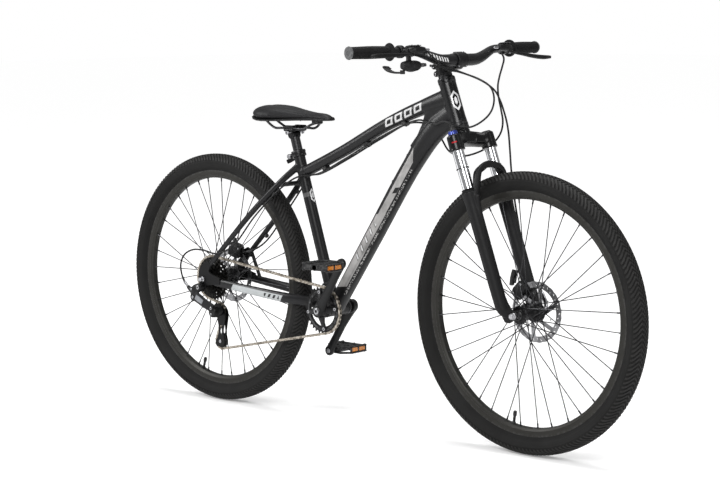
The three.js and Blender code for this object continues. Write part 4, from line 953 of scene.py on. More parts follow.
def frame_paint():
    """Satin black with generic silver flashes on the tubes; the flashes are masks in the paint."""
    nodes = Nodes("frame_paint")
    nodes.place = nodes.parts(nodes.coordinates)
    facing = nodes.facing()
    flank = nodes.ramp(nodes.math("ABSOLUTE", facing[1]), 0.18, 0.22)
    blade, speckle, light_slashes = down_tube_marks(nodes)
    shapes = top_tube_marks(nodes)
    stay = chainstay_block(nodes, nodes.place[1], facing)
    seat_along, seat_up = nodes.axis((0.470, 0.316), (0.3332, 0.7499))
    band = nodes.both(nodes.within(seat_along, 0.322, 0.334), nodes.within(seat_up, -0.02, 0.02))

    silver = nodes.both(flank, nodes.either(blade, speckle))
    white = nodes.both(flank, nodes.either(shapes, light_slashes))
    mottle = nodes.ramp(nodes.noise(16), 0.35, 0.7)
    black = nodes.mix(mottle, rgb((0.005, 0.005, 0.0055)), rgb((0.008, 0.008, 0.009)))
    grey = nodes.mix(nodes.ramp(nodes.noise(30), 0.3, 0.7), rgb((0.25, 0.245, 0.24)), rgb((0.4, 0.39, 0.385)))
    pale = nodes.mix(nodes.noise(50), rgb((0.5, 0.5, 0.5)), rgb((0.68, 0.68, 0.68)))
    tone = nodes.mix(white, nodes.mix(silver, black, grey), pale)
    tone = nodes.mix(
        stay, tone, nodes.mix(nodes.noise(40), rgb((0.36, 0.38, 0.385)), rgb((0.46, 0.48, 0.485))))
    tone = nodes.mix(nodes.math("MULTIPLY", band, 0.25), tone, rgb((0.3, 0.3, 0.3)))
    rubbed = nodes.math("MULTIPLY", nodes.edges(0.56, 0.66), nodes.ramp(nodes.noise(150), 0.45, 0.62))
    tone = nodes.mix(nodes.math("MULTIPLY", rubbed, 0.35), tone, rgb(ALLOY_WEAR))
    flake = nodes.noise(2400, 1)
    print_edge = nodes.math("MULTIPLY", nodes.either(silver, white), 2)
    nodes.set(
        Base_Color=tone, Roughness=nodes.math("MULTIPLY_ADD", nodes.noise(60, 5), 0.12, 0.30),
        Metallic=nodes.math("MULTIPLY", silver, 0.55), Specular_IOR_Level=0.22, Coat_Weight=0.08,
        Coat_Roughness=0.22, Normal=nodes.bump(nodes.math("ADD", flake, print_edge), 0.00004),
    )
    return nodes.material


FRAME_PAINT = frame_paint()


def bore(shape_radius, bore_radius, low, high, matrix, lip=1.0):
    """A short collar with a hole in it, for the open end of a tube."""
    profile = [
        (bore_radius, low), (shape_radius - lip, low), (shape_radius, low + lip), (shape_radius, high - lip),
        (shape_radius - lip, high), (bore_radius, high),
    ]
    return moved(upright(profile, 64), matrix)


def frame_tubes():
    """The tubes of the front triangle with the head's filled gusset, and both pairs of stays."""
    parts = [
        tapered(TOP_TUBE, TOP_TUBE_SIZES, 40, oval(32, 2.4)),
        tapered(DOWN_TUBE, DOWN_TUBE_SIZES, 40, oval(36, 2.6)),
        rod(seat_point(0), seat_point(SEAT_TUBE_LENGTH - 4), 16, sides=48),
        rod(steer_point(0, 0, 3), steer_point(0, 0, HEAD_TUBE_LENGTH - 3), 22.2, sides=48),
        rod(steer_point(0, 0, 1), steer_point(0, 0, 24), 24, 22.2, sides=48),
        rod(steer_point(0, 0, HEAD_TUBE_LENGTH - 18), steer_point(0, 0, HEAD_TUBE_LENGTH - 1), 22.2, 23.4, sides=48),
        cross_rod(BOTTOM_BRACKET, -36.3, 36.3, 21, sides=48),
        plate(GUSSET, -GUSSET_HALF_WIDTH, GUSSET_HALF_WIDTH), rod((292, -44, 656), (292, 44, 656), 7),
        rod((396, -32, 333), (396, 32, 333), 8),
    ]
    for line, sizes in ((SEATSTAY, SEATSTAY_SIZES), (CHAINSTAY, CHAINSTAY_SIZES)):
        stay = tapered(line, sizes, 28, oval(20, 2.3))
        parts += [stay, mirrored(stay)]
    return merge(parts)


def dropout_plates():
    """Forked ends for the axle, with the derailleur's hanger on the right and a disc tab on the left."""
    body = [
        (-14, 356), (-16, 366), (-16, 375), (-12, 390), (-4, 402), (6, 412), (16, 419), (25, 421), (33, 415),
        (34, 406), (29, 397), (28, 390), (36, 385), (50, 381), (74, 375), (74, 356), (52, 354), (24, 350),
        (10, 349)]
    hanger = [(9, 338), (5, 331), (-3, 328), (-11, 332), (-15, 344)]
    slot = ring_outline(REAR_AXLE, 5.2, 20)
    thread = ring_outline(HANGER_BOLT, 4.6, 16)
    right = plate(body + hanger, -DROPOUT_OUTER, -DROPOUT_INNER, [slot, thread])
    left = plate(body, DROPOUT_INNER, DROPOUT_OUTER, [slot])
    brace = rod((96, 68, 366), (62, 69, 438), 5)
    tab = plate([(30, 424), (38, 446), (50, 452), (60, 446), (56, 424), (44, 408)], 62, 68)
    return merge(right, left, brace, tab)


def weld_bead(centre, direction, radius_across, radius_up, across=(0, 1, 0), beads=46):
    """A ring of small overlapping weld ripples round a tube."""
    matrix = placement(centre, direction, across)
    ripples = []
    for c, s in circle(beads):
        here = place(matrix, (radius_up * c, radius_across * s, 0))
        lump = oval(8)
        rings = [
            [here + (matrix[:3, 0] * p[0] + matrix[:3, 1] * p[1]) * 2.0 * w + matrix[:3, 2] * h for p in lump]
            for w, h in ((0.5, -2.6), (1.0, -1.2), (1.1, 0.2), (0.9, 1.5), (0.4, 2.5))
        ]
        ripples.append(loft(rings))
    return merge(ripples)


def cable_guides():
    """Clips under the top tube and on the stays, each holding a hose on either side of its foot."""
    line, tangents = spline(TOP_TUBE, 100)
    guides = []
    for index in (62, 38, 14):
        at, along = line[index], tangents[index]
        matrix = placement(at + vec(0, 0, -17), (-along[2], 0, along[0]))
        guides.append(moved(block((-7, -11.5, -11), (7, 11.5, 3), 2.5), matrix))
        guides.append(moved(bolt((0, 0, -11), (0, 0, -1), 3, 2), matrix))
    for side in (-1, 1):
        for a, b, share in ((SEATSTAY[1], SEATSTAY[2], 0.3), (SEATSTAY[2], SEATSTAY[3], 0.45)):
            at = np.array(a, float) * (1 - share) + np.array(b, float) * share
            at[1] *= side
            away = np.cross(np.array(b, float) - np.array(a, float), (0, 1, 0))
            matrix = placement(at, away if away[2] > 0 else -away)
            guides.append(moved(block((-6, -5, -17), (6, 5, -7), 2), matrix))
    return merge(guides)


def bottle_bosses():
    line, _ = spline(DOWN_TUBE, 100)
    places = [line[index] for index in BOSS_STATIONS]
    bosses = [rod(at + BOSS_DIRECTION * 20, at + BOSS_DIRECTION * 28, 7, chamfer=1) for at in places]
    bolts = [bolt(at + BOSS_DIRECTION * 27.6, BOSS_DIRECTION, 4.6, 3) for at in places]
    return bosses, bolts


def build_frame():
    melted(
        "frame_tubes", frame_tubes(), FRAME_PAINT, FRAME_VOXEL, 7, "frame", ["frame"])
    make("frame_dropouts", dropout_plates(), PLATE_BLACK, "frame")
    collars = [
        bore(24.2, 18, 0, 8, STEER), bore(23.6, 18, HEAD_TUBE_LENGTH - 8, HEAD_TUBE_LENGTH, STEER),
        bore(16.4, 14, SEAT_TUBE_LENGTH - 8, SEAT_TUBE_LENGTH, SEAT),
    ]
    make("frame_collars", merge(collars), GLOSS_BLACK, "frame")
    head_shield = []
    for height in np.linspace(10, HEAD_TUBE_LENGTH - 10, 16):
        flare = 22.7 + 1.3 * max(0.0, (24 - height) / 24)
        ring = [(flare * math.cos(a), flare * math.sin(a)) for a in np.linspace(-1.15, 1.15, 21)]
        inner = [(x - 2.5, y * 0.93) for x, y in ring[::-1]]
        head_shield.append([steer_point(x, y, height) for x, y in ring + inner])
    make("head_tube_front", loft(head_shield), GLOSS_BLACK, "frame")
    beads = [
        weld_bead((446, 0, 385), SEAT_AXIS, 17.2, 17.2),
        weld_bead((366, 0, 696), (0.92, 0, 0.39), 16.4, 16.8),
    ]
    make("frame_welds", merge(beads), FRAME_PAINT, "frame")
    make("frame_cable_guides", cable_guides(), MOULDED, "frame")
    bosses, bolts = bottle_bosses()
    make("frame_bottle_bosses", merge(bosses), FRAME_PAINT, "frame")
    make("frame_bottle_bolts", merge(bolts), BOLT_STEEL, "frame")


def lifted(height, turn=0.0):
    """A placement raised along a tube and turned about it."""
    c, s = math.cos(turn), math.sin(turn)
    return np.array([[c, -s, 0, 0], [s, c, 0, 0], [0, 0, 1, height], [0, 0, 0, 1.0]])


def badge(matrix, radius, width, height):
    """A plain long hexagon, raised from the tube, with a smaller one inside it."""
    def hexagon(w, h, lift):
        outline = [(0, h), (w, h * 0.55), (w, -h * 0.55), (0, -h), (-w, -h * 0.55), (-w, h * 0.55)]
        return [place(matrix, (math.sqrt(radius ** 2 - y * y) + lift, y, z)) for y, z in outline]

    rim_rings = [
        hexagon(width, height, -0.6), hexagon(width, height, 0.7), hexagon(width * 0.68, height * 0.76, 0.7),
        hexagon(width * 0.66, height * 0.74, -0.6),
    ]
    heart = [hexagon(width * 0.36, height * 0.42, -0.6), hexagon(width * 0.33, height * 0.4, 0.7)]
    return merge(loft(rim_rings, loop=True), loft(heart))


BADGE_SILVER = finish(
    "badge_silver", (0.82, 0.82, 0.83), 0.35, 0.3, mottle=0.2, mottle_scale=60, grain_height=0.00004)
build_frame()
head_badge = badge(STEER @ lifted(HEAD_BADGE_HEIGHT, HEAD_BADGE_TURN), 22.9, 11, 27)
make("head_badge", head_badge, BADGE_SILVER, "frame")
seat_badge = badge(SEAT @ lifted(SEAT_BADGE_HEIGHT), 16.3, 7.5, 20)
make("seat_tube_badge", seat_badge, BADGE_SILVER, "frame")


# ---------- fork ----------
LEG_OFFSET = 26
LEG_Y = 65
STANCHION_RADIUS = 15
CROWN_LEG_BOTTOM = -71
CROWN_LEG_TOP = -28
LOWERS_TOP = -180
STANCHION_BOTTOM = -330
FORK_AXLE_DROP = 519
FRONT_DROPOUT = (50, 58)
STEERER_RADIUS = 14.3
CROWN_VOXEL = 1.4
LOWERS_VOXEL = 1.6


def at_leg(side, height, ahead=0.0):
    return vec(LEG_OFFSET + ahead, side * LEG_Y, height)


def crown_solids():
    """An arched bridge between two leg sockets, hollowed underneath."""
    half = [(LEG_OFFSET, LEG_Y, -47), (20, 52, -45.5), (7, 32, -38)]
    line = [(x, -y, z) for x, y, z in half] + [(0, 0, -33)] + half[::-1]
    sizes = [(36, 34), (38, 35), (38, 38), (46, 41), (38, 38), (38, 35), (36, 34)]
    parts = [tapered(line, sizes, 36, oval(28, 2.8), (1, 0, 0))]
    parts.append(rod((0, 0, -46), (0, 0, -10.5), 21, 23.5, sides=48, chamfer=2))
    for side in (-1, 1):
        foot = at_leg(side, CROWN_LEG_BOTTOM)
        parts.append(rod(foot, at_leg(side, CROWN_LEG_TOP), 20, 19, sides=48, chamfer=2.5))
        parts.append(rod(foot, at_leg(side, CROWN_LEG_BOTTOM + 5), 20.6, sides=48))
    return moved(merge(parts), STEER)


def lowers_solids():
    """Two cast legs with axle ends, joined by an arch that stands in front of the legs."""
    arch = [(42, 62, -200), (52, 57, -168), (60, 46, -137), (61, 22, -124), (61, 0, -121)]
    line = arch + [(x, -y, z) for x, y, z in arch[-2::-1]]
    sizes = [(15, 22), (14, 18), (13, 16), (13, 17), (13, 19), (13, 17), (13, 16), (14, 18), (15, 22)]
    parts = [tapered(line, sizes, 48, oval(20, 2.8), (1, 0, 0))]
    for side in (-1, 1):
        parts.append(rod(at_leg(side, -494), at_leg(side, LOWERS_TOP - 20), 17, 19, sides=48, chamfer=3))
        parts.append(rod(at_leg(side, LOWERS_TOP - 34), at_leg(side, LOWERS_TOP - 3), 19, 20.6, sides=48))
        spine = [at_leg(side, -300, 10), at_leg(side, -240, 13), at_leg(side, -196, 18)]
        parts.append(tapered(spine, [(14, 16), (15, 18), (16, 20)], 12, oval(20, 2.4)))
        low, high = sorted((side * FRONT_DROPOUT[0], side * FRONT_DROPOUT[1]))
        outline = [
            (10, 46), (12, 6), (16, -8), (28, -14), (42, -11), (57, -7), (61, 2), (58, 10), (48, 14),
            (42, 30), (36, 50)]
        parts.append(plate([(x, z - FORK_AXLE_DROP) for x, z in outline], low, high))
        parts.append(tapered(
            [at_leg(side, -470), at_leg(side, -497, 3), (40, side * 56, -513)],
            [(34, 30), (30, 28), (17, 26)], 12, oval(20, 2.4)))
    for side in (1, -1):
        web = [(60, side * 20, -125), (50, side * 46, -140), (46, side * 58, -176)]
        parts.append(tapered(web, [(6, 18), (6, 20), (8, 22)], 10, oval(12, 3), (1, 0, 0)))
    return moved(merge(parts), STEER)


def wiper_seal(side):
    """The rubber lip where a stanchion enters its leg."""
    profile = [
        (STANCHION_RADIUS + 0.15, LOWERS_TOP - 3), (20.4, LOWERS_TOP - 3), (20.4, LOWERS_TOP + 0.5),
        (18.6, LOWERS_TOP + 1.6), (18.2, LOWERS_TOP + 3.4), (19, LOWERS_TOP + 4.2), (18.4, LOWERS_TOP + 5.6),
        (16.2, LOWERS_TOP + 7), (STANCHION_RADIUS + 0.15, LOWERS_TOP + 6.6),
    ]
    return moved(shifted(upright(profile, 48), at_leg(side, 0)), STEER)


def build_fork():
    melted(
        "fork_crown_forging", crown_solids(), GLOSS_BLACK, CROWN_VOXEL, 5, "steering", ["fork_crown"])
    steerer = [
        (10, -8), (STEERER_RADIUS, -8), (STEERER_RADIUS, HEAD_TUBE_LENGTH + 54), (10, HEAD_TUBE_LENGTH + 54)]
    make("steerer", moved(upright(steerer), STEER), SATIN_BLACK, "steering")
    for side, label in ((-1, "right"), (1, "left")):
        tube_profile = [
            (11, STANCHION_BOTTOM), (14.4, STANCHION_BOTTOM), (STANCHION_RADIUS, STANCHION_BOTTOM + 0.6),
            (STANCHION_RADIUS, CROWN_LEG_TOP - 10), (11, CROWN_LEG_TOP - 10),
        ]
        leg = moved(shifted(upright(tube_profile, 64), at_leg(side, 0)), STEER)
        make("stanchion_tube_" + label, leg, CHROME, "steering", ["stanchion_" + label])
        ring = tube_ring(at_leg(side, -118), 16, 1.2)
        make("travel_ring_" + label, moved(ring, STEER), GRIP_RUBBER, "steering")
        make("wiper_seal_" + label, wiper_seal(side), GRIP_RUBBER, "fork_lowers")
    melted(
        "fork_lower_casting", lowers_solids(), MATT_BLACK, LOWERS_VOXEL, 5, "fork_lowers", ["fork_lowers"])
    left_cap = [
        (0, CROWN_LEG_TOP - 1), (14, CROWN_LEG_TOP - 1), (14, CROWN_LEG_TOP + 1.5), (12.5, CROWN_LEG_TOP + 3),
        (0, CROWN_LEG_TOP + 3.4)]
    make("fork_top_cap_left", moved(shifted(upright(left_cap), at_leg(1, 0)), STEER), MATT_BLACK, "steering")
    red_mark = []
    for turn in np.linspace(-0.35, 0.35, 9):
        ring = [(20.2, -51), (21.0, -50.6), (21.0, -47.4), (20.2, -47)]
        c, s = math.cos(turn - 1.0), math.sin(turn - 1.0)
        red_mark.append([steer_point(LEG_OFFSET + r * c, -LEG_Y + r * s, h) for r, h in ring])
    make("fork_red_mark", loft(red_mark), ACCENT_RED, "steering")


def tube_ring(centre, radius, thickness):
    """A thin ring lying level."""
    section = [(radius + thickness * c, centre[2] + thickness * s) for c, s in circle(10)]
    return shifted(upright(section, 48), (centre[0], centre[1], 0))


def fork_dial():
    """A turning cap with finger scallops."""
    rings = []
    low, high = CROWN_LEG_TOP + 0.3, CROWN_LEG_TOP + 10.5
    stations = (
        (low, 11.8, 0), (low + 1, 13, 0.8), (high - 2.5, 12.6, 1), (high - 0.8, 12, 0.9), (high, 9, 0))
    for height, radius, depth in stations:
        ring = []
        for a in np.arange(96) * math.pi / 48:
            reach = radius - depth * (1 + math.cos(12 * a)) / 2
            ring.append((reach * math.cos(a), reach * math.sin(a), height))
        rings.append(ring)
    pointer = block((-9, -1.2, high - 0.2), (9, 1.2, high + 1.0), 0.4)
    return moved(shifted(merge(loft(rings), pointer), at_leg(-1, 0)), STEER)


build_fork()
make("fork_blue_dial", fork_dial(), DIAL_BLUE, "fork_dial", ["fork_dial"])


# ---------- brake calipers ----------
def caliper(axle, angle, rotor_y, low, high, reach):
    """A two-piece body straddling the disc: pistons' domes, bridge and a hose banjo."""
    parts = []
    for side, face in ((-1, low), (1, high)):
        inner = rotor_y + side * 2.2
        parts.append(block((-25, inner, 58), (25, face, reach - 7), 5))
        low_end, high_end = (0, face - side * 4, 70), (0, face + side * 0.5, 70)
        parts.append(rod(low_end, high_end, 13.5, 11.5, sides=40, chamfer=1.5))
    parts.append(block((-21, low + 2, reach - 17), (21, high - 2, reach - 1), 4.5))
    turn = placement(axle, (math.cos(angle), 0, math.sin(angle)))
    body = moved(merge(parts), turn)
    fasteners = []
    for x in (-17, 17):
        fasteners.append(moved(bolt((x, high - 1, reach - 14), (0, 1, 0), 3.6, 2.8), turn))
        fasteners.append(moved(bolt((x, low + 1, reach - 14), (0, -1, 0), 3.6, 2.8), turn))
    fasteners.append(moved(rod((-14, high, 84), (-14, high + 3.4, 84), 5.6, sides=6), turn))
    pads = [block((-12, rotor_y + s * 0.95, 64), (12, rotor_y + s * 2.4, 84), 0.4) for s in (-1, 1)]
    return body, merge(fasteners), moved(merge(pads), turn)


PAD_COMPOUND = finish(
    "pad_compound", (0.09, 0.075, 0.06), 0.75, mottle=0.5, mottle_scale=400, grain_height=0.0003)


def build_caliper(label, axle, angle, rotor_y, low, high, reach, body, mount):
    casting, fasteners, pads = caliper(axle, angle, rotor_y, low, high, reach)
    melted(label + "_caliper_body", merge(casting, mount), MATT_BLACK, 0.9, 3, body, [label + "_caliper"])
    make(label + "_caliper_bolts", fasteners, BOLT_STEEL, body)
    make(label + "_brake_pads", pads, PAD_COMPOUND, body)


rear_mount = tapered(
    [(14, 66, 446), (42, 65, 436), (66, 63, 430)], [(9, 13), (9, 12), (9, 14)], 12, oval(16, 2.8))
build_caliper(
    "rear", REAR_AXLE, math.radians(78), REAR_HUB["rotor_y"], low=37, high=60, reach=102, body="frame",
    mount=rear_mount)
front_mount = merge(
    tapered(
        [(1068, 42, 428), (1064, 52, 450), (1066, 58, 466)], [(9, 14), (9, 14), (9, 16)], 10, oval(16, 2.8)),
    tapered(
        [(1104, 42, 380), (1112, 52, 372), (1122, 57, 366)], [(9, 14), (9, 14), (9, 16)], 10, oval(16, 2.8)))
build_caliper(
    "front", FRONT_AXLE, math.radians(135), FRONT_HUB["rotor_y"], low=26, high=44, reach=94,
    body="fork_lowers", mount=front_mount)


# ---------- headset and stem ----------
STEM_LENGTH = 58
STEERER_TOP = HEAD_TUBE_LENGTH + 55
CLAMP_LOW = HEAD_TUBE_LENGTH + 14.7
CLAMP_Z = HEAD_TUBE_LENGTH + 35.5
BAR_RADIUS = 15.9
GRIP_BAR_RADIUS = 11.1
BAR_CENTRE = steer_point(STEM_LENGTH, 0, CLAMP_Z)
STEM_BOLT_HEIGHTS = (CLAMP_LOW + 10, STEERER_TOP - 10)


def build_headset():
    lower = [(15, -0.3), (15, -9.4), (22.6, -9.4), (24.4, -6.5), (24.4, -1.2), (23.8, -0.3)]
    make("headset_cup_lower", moved(upright(lower, 64), STEER), SATIN_BLACK, "frame", ["headset_lower"])
    base = HEAD_TUBE_LENGTH + 0.3
    upper = [
        (15, base), (23.2, base), (23.8, base + 1), (23.4, base + 4.4), (21.8, base + 6.4),
        (19.4, base + 7.4), (19.2, base + 9), (15, base + 9),
    ]
    make("headset_cup_upper", moved(upright(upper, 64), STEER), SATIN_BLACK, "frame", ["headset_upper"])
    spacer = [
        (15, base + 9.4), (18.4, base + 9.4), (18.8, base + 10), (18.8, base + 13.4), (18.4, base + 14),
        (15, base + 14)]
    make("headset_spacer", moved(upright(spacer, 64), STEER), SATIN_BLACK, "steering")
    top = STEERER_TOP + 0.3
    cap = [
        (0, top), (16.6, top), (17.2, top + 0.8), (16.8, top + 2.6), (15.4, top + 3.6), (6, top + 3.8),
        (0, top + 3.8)]
    make("stem_top_cap", moved(upright(cap, 64), STEER), SATIN_BLACK, "steering", ["top_cap"])
    make("stem_top_bolt", moved(bolt((0, 0, top + 2.0), (0, 0, 1), 5.6, 2.4), STEER), BOLT_STEEL, "steering")


def stem_solids():
    neck = [(4, 0, CLAMP_Z - 1), (24, 0, CLAMP_Z), (STEM_LENGTH - 8, 0, CLAMP_Z)]
    parts = [
        rod((0, 0, CLAMP_LOW), (0, 0, STEERER_TOP), 19.6, sides=48, chamfer=2),
        tapered(neck, [(30, 34), (29, 29), (40, 40)], 16, oval(28, 2.8)),
        block((STEM_LENGTH - 23, -21, CLAMP_Z - 21), (STEM_LENGTH - 1, 21, CLAMP_Z + 21), 5),
    ]
    for height in STEM_BOLT_HEIGHTS:
        parts.append(rod((-21, -13, height), (-21, 13, height), 7.6, chamfer=2))
    return moved(merge(parts), STEER)


def build_stem():
    melted("stem_forging", stem_solids(), SATIN_BLACK, 1.3, 4, "steering", ["stem"])
    face = block((STEM_LENGTH + 0.5, -20.5, CLAMP_Z - 21), (STEM_LENGTH + 8, 20.5, CLAMP_Z + 21), 3)
    melted(
        "stem_face_clamp", moved(merge(face, rounded_front(STEM_LENGTH, CLAMP_Z)), STEER), SATIN_BLACK, 1.1,
        4, "steering", ["stem_faceplate"])
    bolts = []
    for y in (-15, 15):
        for z in (-16.5, 16.5):
            bolts.append(moved(bolt((STEM_LENGTH + 6.5, y, CLAMP_Z + z), (1, 0, 0), 4.0, 3.6), STEER))
    for height in STEM_BOLT_HEIGHTS:
        bolts.append(moved(bolt((-21, -12, height), (0, -1, 0), 4.0, 2.6), STEER))
    make("stem_bolts", merge(bolts), BOLT_STEEL, "steering")


def rounded_front(ahead, height):
    """The bowed middle of the face clamp, wrapped round the bar."""
    rings = []
    for y in (-20, -18, -9, 0, 9, 18, 20):
        swell = 19.6 if abs(y) > 19 else 20.8
        ring = []
        for reach, turns in ((swell, np.linspace(-1.2, 1.2, 15)), (15.4, np.linspace(1.2, -1.2, 15))):
            ring += [(ahead + reach * math.cos(a), y, height + reach * math.sin(a)) for a in turns]
        rings.append(ring)
    return loft(rings)


# ---------- handlebar ----------
BACKSWEEP = 0.128
RISE = 25.6
BEND = (56.0, 170.0)
SWEEP_START = 42
TAPER = (56, 150)
BAR_HALF = 370
GRIP_INNER = 237
GRIP_LENGTH = BAR_HALF - GRIP_INNER
GRIP_BORE = 11.5
GRIP_RADIUS = 15.8
GRIP_FLANGE = 23.2
GRIP_ROWS = 150
GRIP_SIDES = 60
WAFFLE_DEPTH = 0.75
BRAKE_REACH = 205
SHIFTER_REACH = 176


def bar_point(side, reach):
    share = min(max((reach - BEND[0]) / (BEND[1] - BEND[0]), 0), 1)
    bent = share * share * (3 - 2 * share)
    return BAR_CENTRE + vec(-BACKSWEEP * max(0, reach - SWEEP_START) * bent, side * reach, RISE * bent)


def on_bar(side, reach):
    """A placement on the handlebar whose Y runs outwards along it."""
    c, s = math.cos(math.atan(BACKSWEEP)), math.sin(math.atan(BACKSWEEP))
    made = np.eye(4)
    made[:3, 0], made[:3, 1], made[:3, 3] = (c, side * s, 0), (-s, side * c, 0), bar_point(side, reach)
    return made


def handlebar_shape():
    reaches = [367, 330, 290, 250, 215, 190, 170, 150, 130, 110, 90, 70, 52, 40, 20]
    line = [bar_point(-1, r) for r in reaches] + [bar_point(1, r) for r in reversed(reaches)]
    sizes = [2 * float(np.interp(r, TAPER, (BAR_RADIUS, GRIP_BAR_RADIUS))) for r in reaches]
    return tapered(line, [(s, s) for s in sizes + sizes[::-1]], 120, oval(32), (1, 0, 0))


def bar_paint():
    """Satin black with a row of plain pale dashes on the right half."""
    nodes = Nodes("bar_paint")
    _, y, z = nodes.parts(nodes.coordinates)
    row = nodes.math("MULTIPLY", nodes.math("ADD", y, nodes.math("MULTIPLY", z, 0.35)), 118)
    cell = nodes.math("FRACT", row)
    dash = nodes.math("MULTIPLY", nodes.ramp(cell, 0.28, 0.34), nodes.ramp(cell, 0.86, 0.8))
    span = nodes.math("MULTIPLY", nodes.ramp(y, -0.134, -0.132), nodes.ramp(y, -0.056, -0.058))
    facing = nodes.facing()
    front = nodes.math(
        "MULTIPLY", nodes.ramp(facing[0], 0.72, 0.76),
        nodes.ramp(nodes.math("ABSOLUTE", nodes.math("SUBTRACT", facing[2], 0.12)), 0.38, 0.34))
    mark = nodes.math("MULTIPLY", nodes.math("MULTIPLY", dash, span), front)
    base = nodes.mix(
        nodes.ramp(nodes.noise(18), 0.35, 0.7), rgb((0.006, 0.006, 0.0065)), rgb((0.01, 0.01, 0.011)))
    worn = nodes.math("MULTIPLY", nodes.ramp(nodes.noise(210), 0.62, 0.7), 0.2)
    tone = nodes.mix(mark, nodes.mix(worn, base, rgb((0.06, 0.06, 0.06))), rgb((0.72, 0.72, 0.72)))
    nodes.set(
        Base_Color=tone, Roughness=nodes.math("MULTIPLY_ADD", nodes.noise(60), 0.12, 0.3), Metallic=0.2,
        Coat_Weight=0.1, Specular_IOR_Level=0.25, Normal=nodes.bump(nodes.noise(1500, 2), 0.00005))
    return nodes.material


def grip_shape():
    """A round grip with fine rings, waffle panels and a flange at its inner end."""
    length = GRIP_LENGTH
    rings = []
    for i in range(GRIP_ROWS + 1):
        y = length * i / GRIP_ROWS
        radius = GRIP_RADIUS + 0.5 * math.cos(math.pi * (y / length - 0.5) * 2)
        if y < 4:
            radius = GRIP_FLANGE - 0.5 * abs(y - 2) ** 1.5
        elif y < 9:
            radius = float(np.interp(y, (4, 9), (21.5, 16.6)))
        ring = []
        for k in range(GRIP_SIDES):
            angle = 2 * math.pi * k / GRIP_SIDES
            lift = 0.0
            if 14 < y < length - 8:
                groove = i % 5 in (3, 4)
                gap = k % 5 == 0
                lift = -WAFFLE_DEPTH if groove or gap else 0.0
            ring.append(((radius + lift) * math.cos(angle), y, (radius + lift) * math.sin(angle)))
        rings.append(ring)
    inner = [[(GRIP_BORE * c, y, GRIP_BORE * s) for c, s in circle(GRIP_SIDES)] for y in (length, 0)]
    return loft(rings + inner, loop=True)


def grip_cap():
    length = GRIP_LENGTH
    profile = [
        (0, length - 0.5), (16.2, length - 0.5), (17, length + 0.5), (16.4, length + 2.4), (14, length + 3.8),
        (6, length + 3.4), (5.4, length + 2.4), (0, length + 2.4)]
    return turned(profile, segments=GRIP_SIDES)


LEVER_PIVOT = vec(30, -14, -6)


def brake_solids():
    """The clamp, the master cylinder with its reservoir, and the lever's fork."""
    band = turned([(11.5, -7), (15.6, -7), (16.4, -5.6), (16.4, 5.6), (15.6, 7), (11.5, 7)], segments=48)
    cylinder_line = [(25, -60, 4), (27, -44, 4), (27, -24, 3), (27, -4, 0)]
    parts = [
        band,
        tapered(cylinder_line, [(14, 14), (18, 19), (20, 22), (16, 17)], 24, oval(24, 2.5), (1, 0, 0)),
        tapered([(12, 0, 0), (20, -4, 0), (27, -12, 1)], [(12, 12), (12, 12), (16, 16)], 10, oval(16, 2.6)),
        block((16, -44, 6), (36, -12, 14.5), 3),
    ]
    for z in (-11.5, 0.5):
        parts.append(block((18, -22, z), (36, -8, z + 5.5), 2.2))
    return merge(parts)


def lever_blade(drop):
    """A bowed two-finger blade with a rounded tip."""
    line = [
        LEVER_PIVOT, vec(42, 2, -6 - drop * 0.3), vec(47, 24, -6 - drop * 0.45), vec(50, 60, -6 - drop * 0.7),
        vec(52, 96, -6 - drop * 0.9), vec(55, 124, -6 - drop), vec(62, 141, -6 - drop)]
    sizes = [(8, 6), (8, 7), (7, 9), (7, 11), (7.5, 12), (8, 12), (9, 9)]
    return [
        tapered(line, sizes, 48, oval(20, 2.4), (1, 0, 0)),
        rod(LEVER_PIVOT - vec(0, 0, 4.4), LEVER_PIVOT + vec(0, 0, 4.4), 5.4, sides=24),
        rod(line[-1] - vec(0, 0, 4), line[-1] + vec(0, 0, 4), 5.2, sides=24, chamfer=1.5),
    ]


def build_controls(side, label, drop):
    turn = on_bar(side, GRIP_INNER)
    make("grip_sleeve_" + label, moved(grip_shape(), turn), GRIP_RUBBER, "steering", ["grip_" + label])
    make("grip_cap_" + label, moved(grip_cap(), turn), GRIP_CAP, "steering")
    turn = on_bar(side, BRAKE_REACH)
    melted(
        "brake_cylinder_" + label, moved(brake_solids(), turn), SATIN_BLACK, 0.9, 4, "steering",
        ["brake_body_" + label])
    lid = merge(
        block((17, -43, 14.6), (35, -13, 16.6), 1.2),
        bolt((26, -38, 16.2), (0, 0, 1), 2.2, 1.4), bolt((26, -18, 16.2), (0, 0, 1), 2.2, 1.4))
    make("brake_lid_" + label, moved(lid, turn), DARK_PLASTIC, "steering")
    screws = merge(
        bolt(LEVER_PIVOT + vec(0, 0, 11.6), (0, 0, 1), 3.2, 1.8),
        bolt(LEVER_PIVOT - vec(0, 0, 5.4), (0, 0, -1), 3.2, 1.8),
        rod((25, -60, 4), (24, -70, 4), 4, 3.2, sides=6), rod((24, -69, 4), (23, -78, 4), 3.2, sides=16),
        bolt((14.5, 0, -7), (0, 0, -1), 2.6, 2))
    make("brake_screws_" + label, moved(screws, turn), BOLT_STEEL, "steering")
    melted(
        "brake_blade_" + label, moved(merge(lever_blade(drop)), turn), SATIN_BLACK, 0.8, 4,
        "brake_lever_" + label, ["brake_lever_" + label])


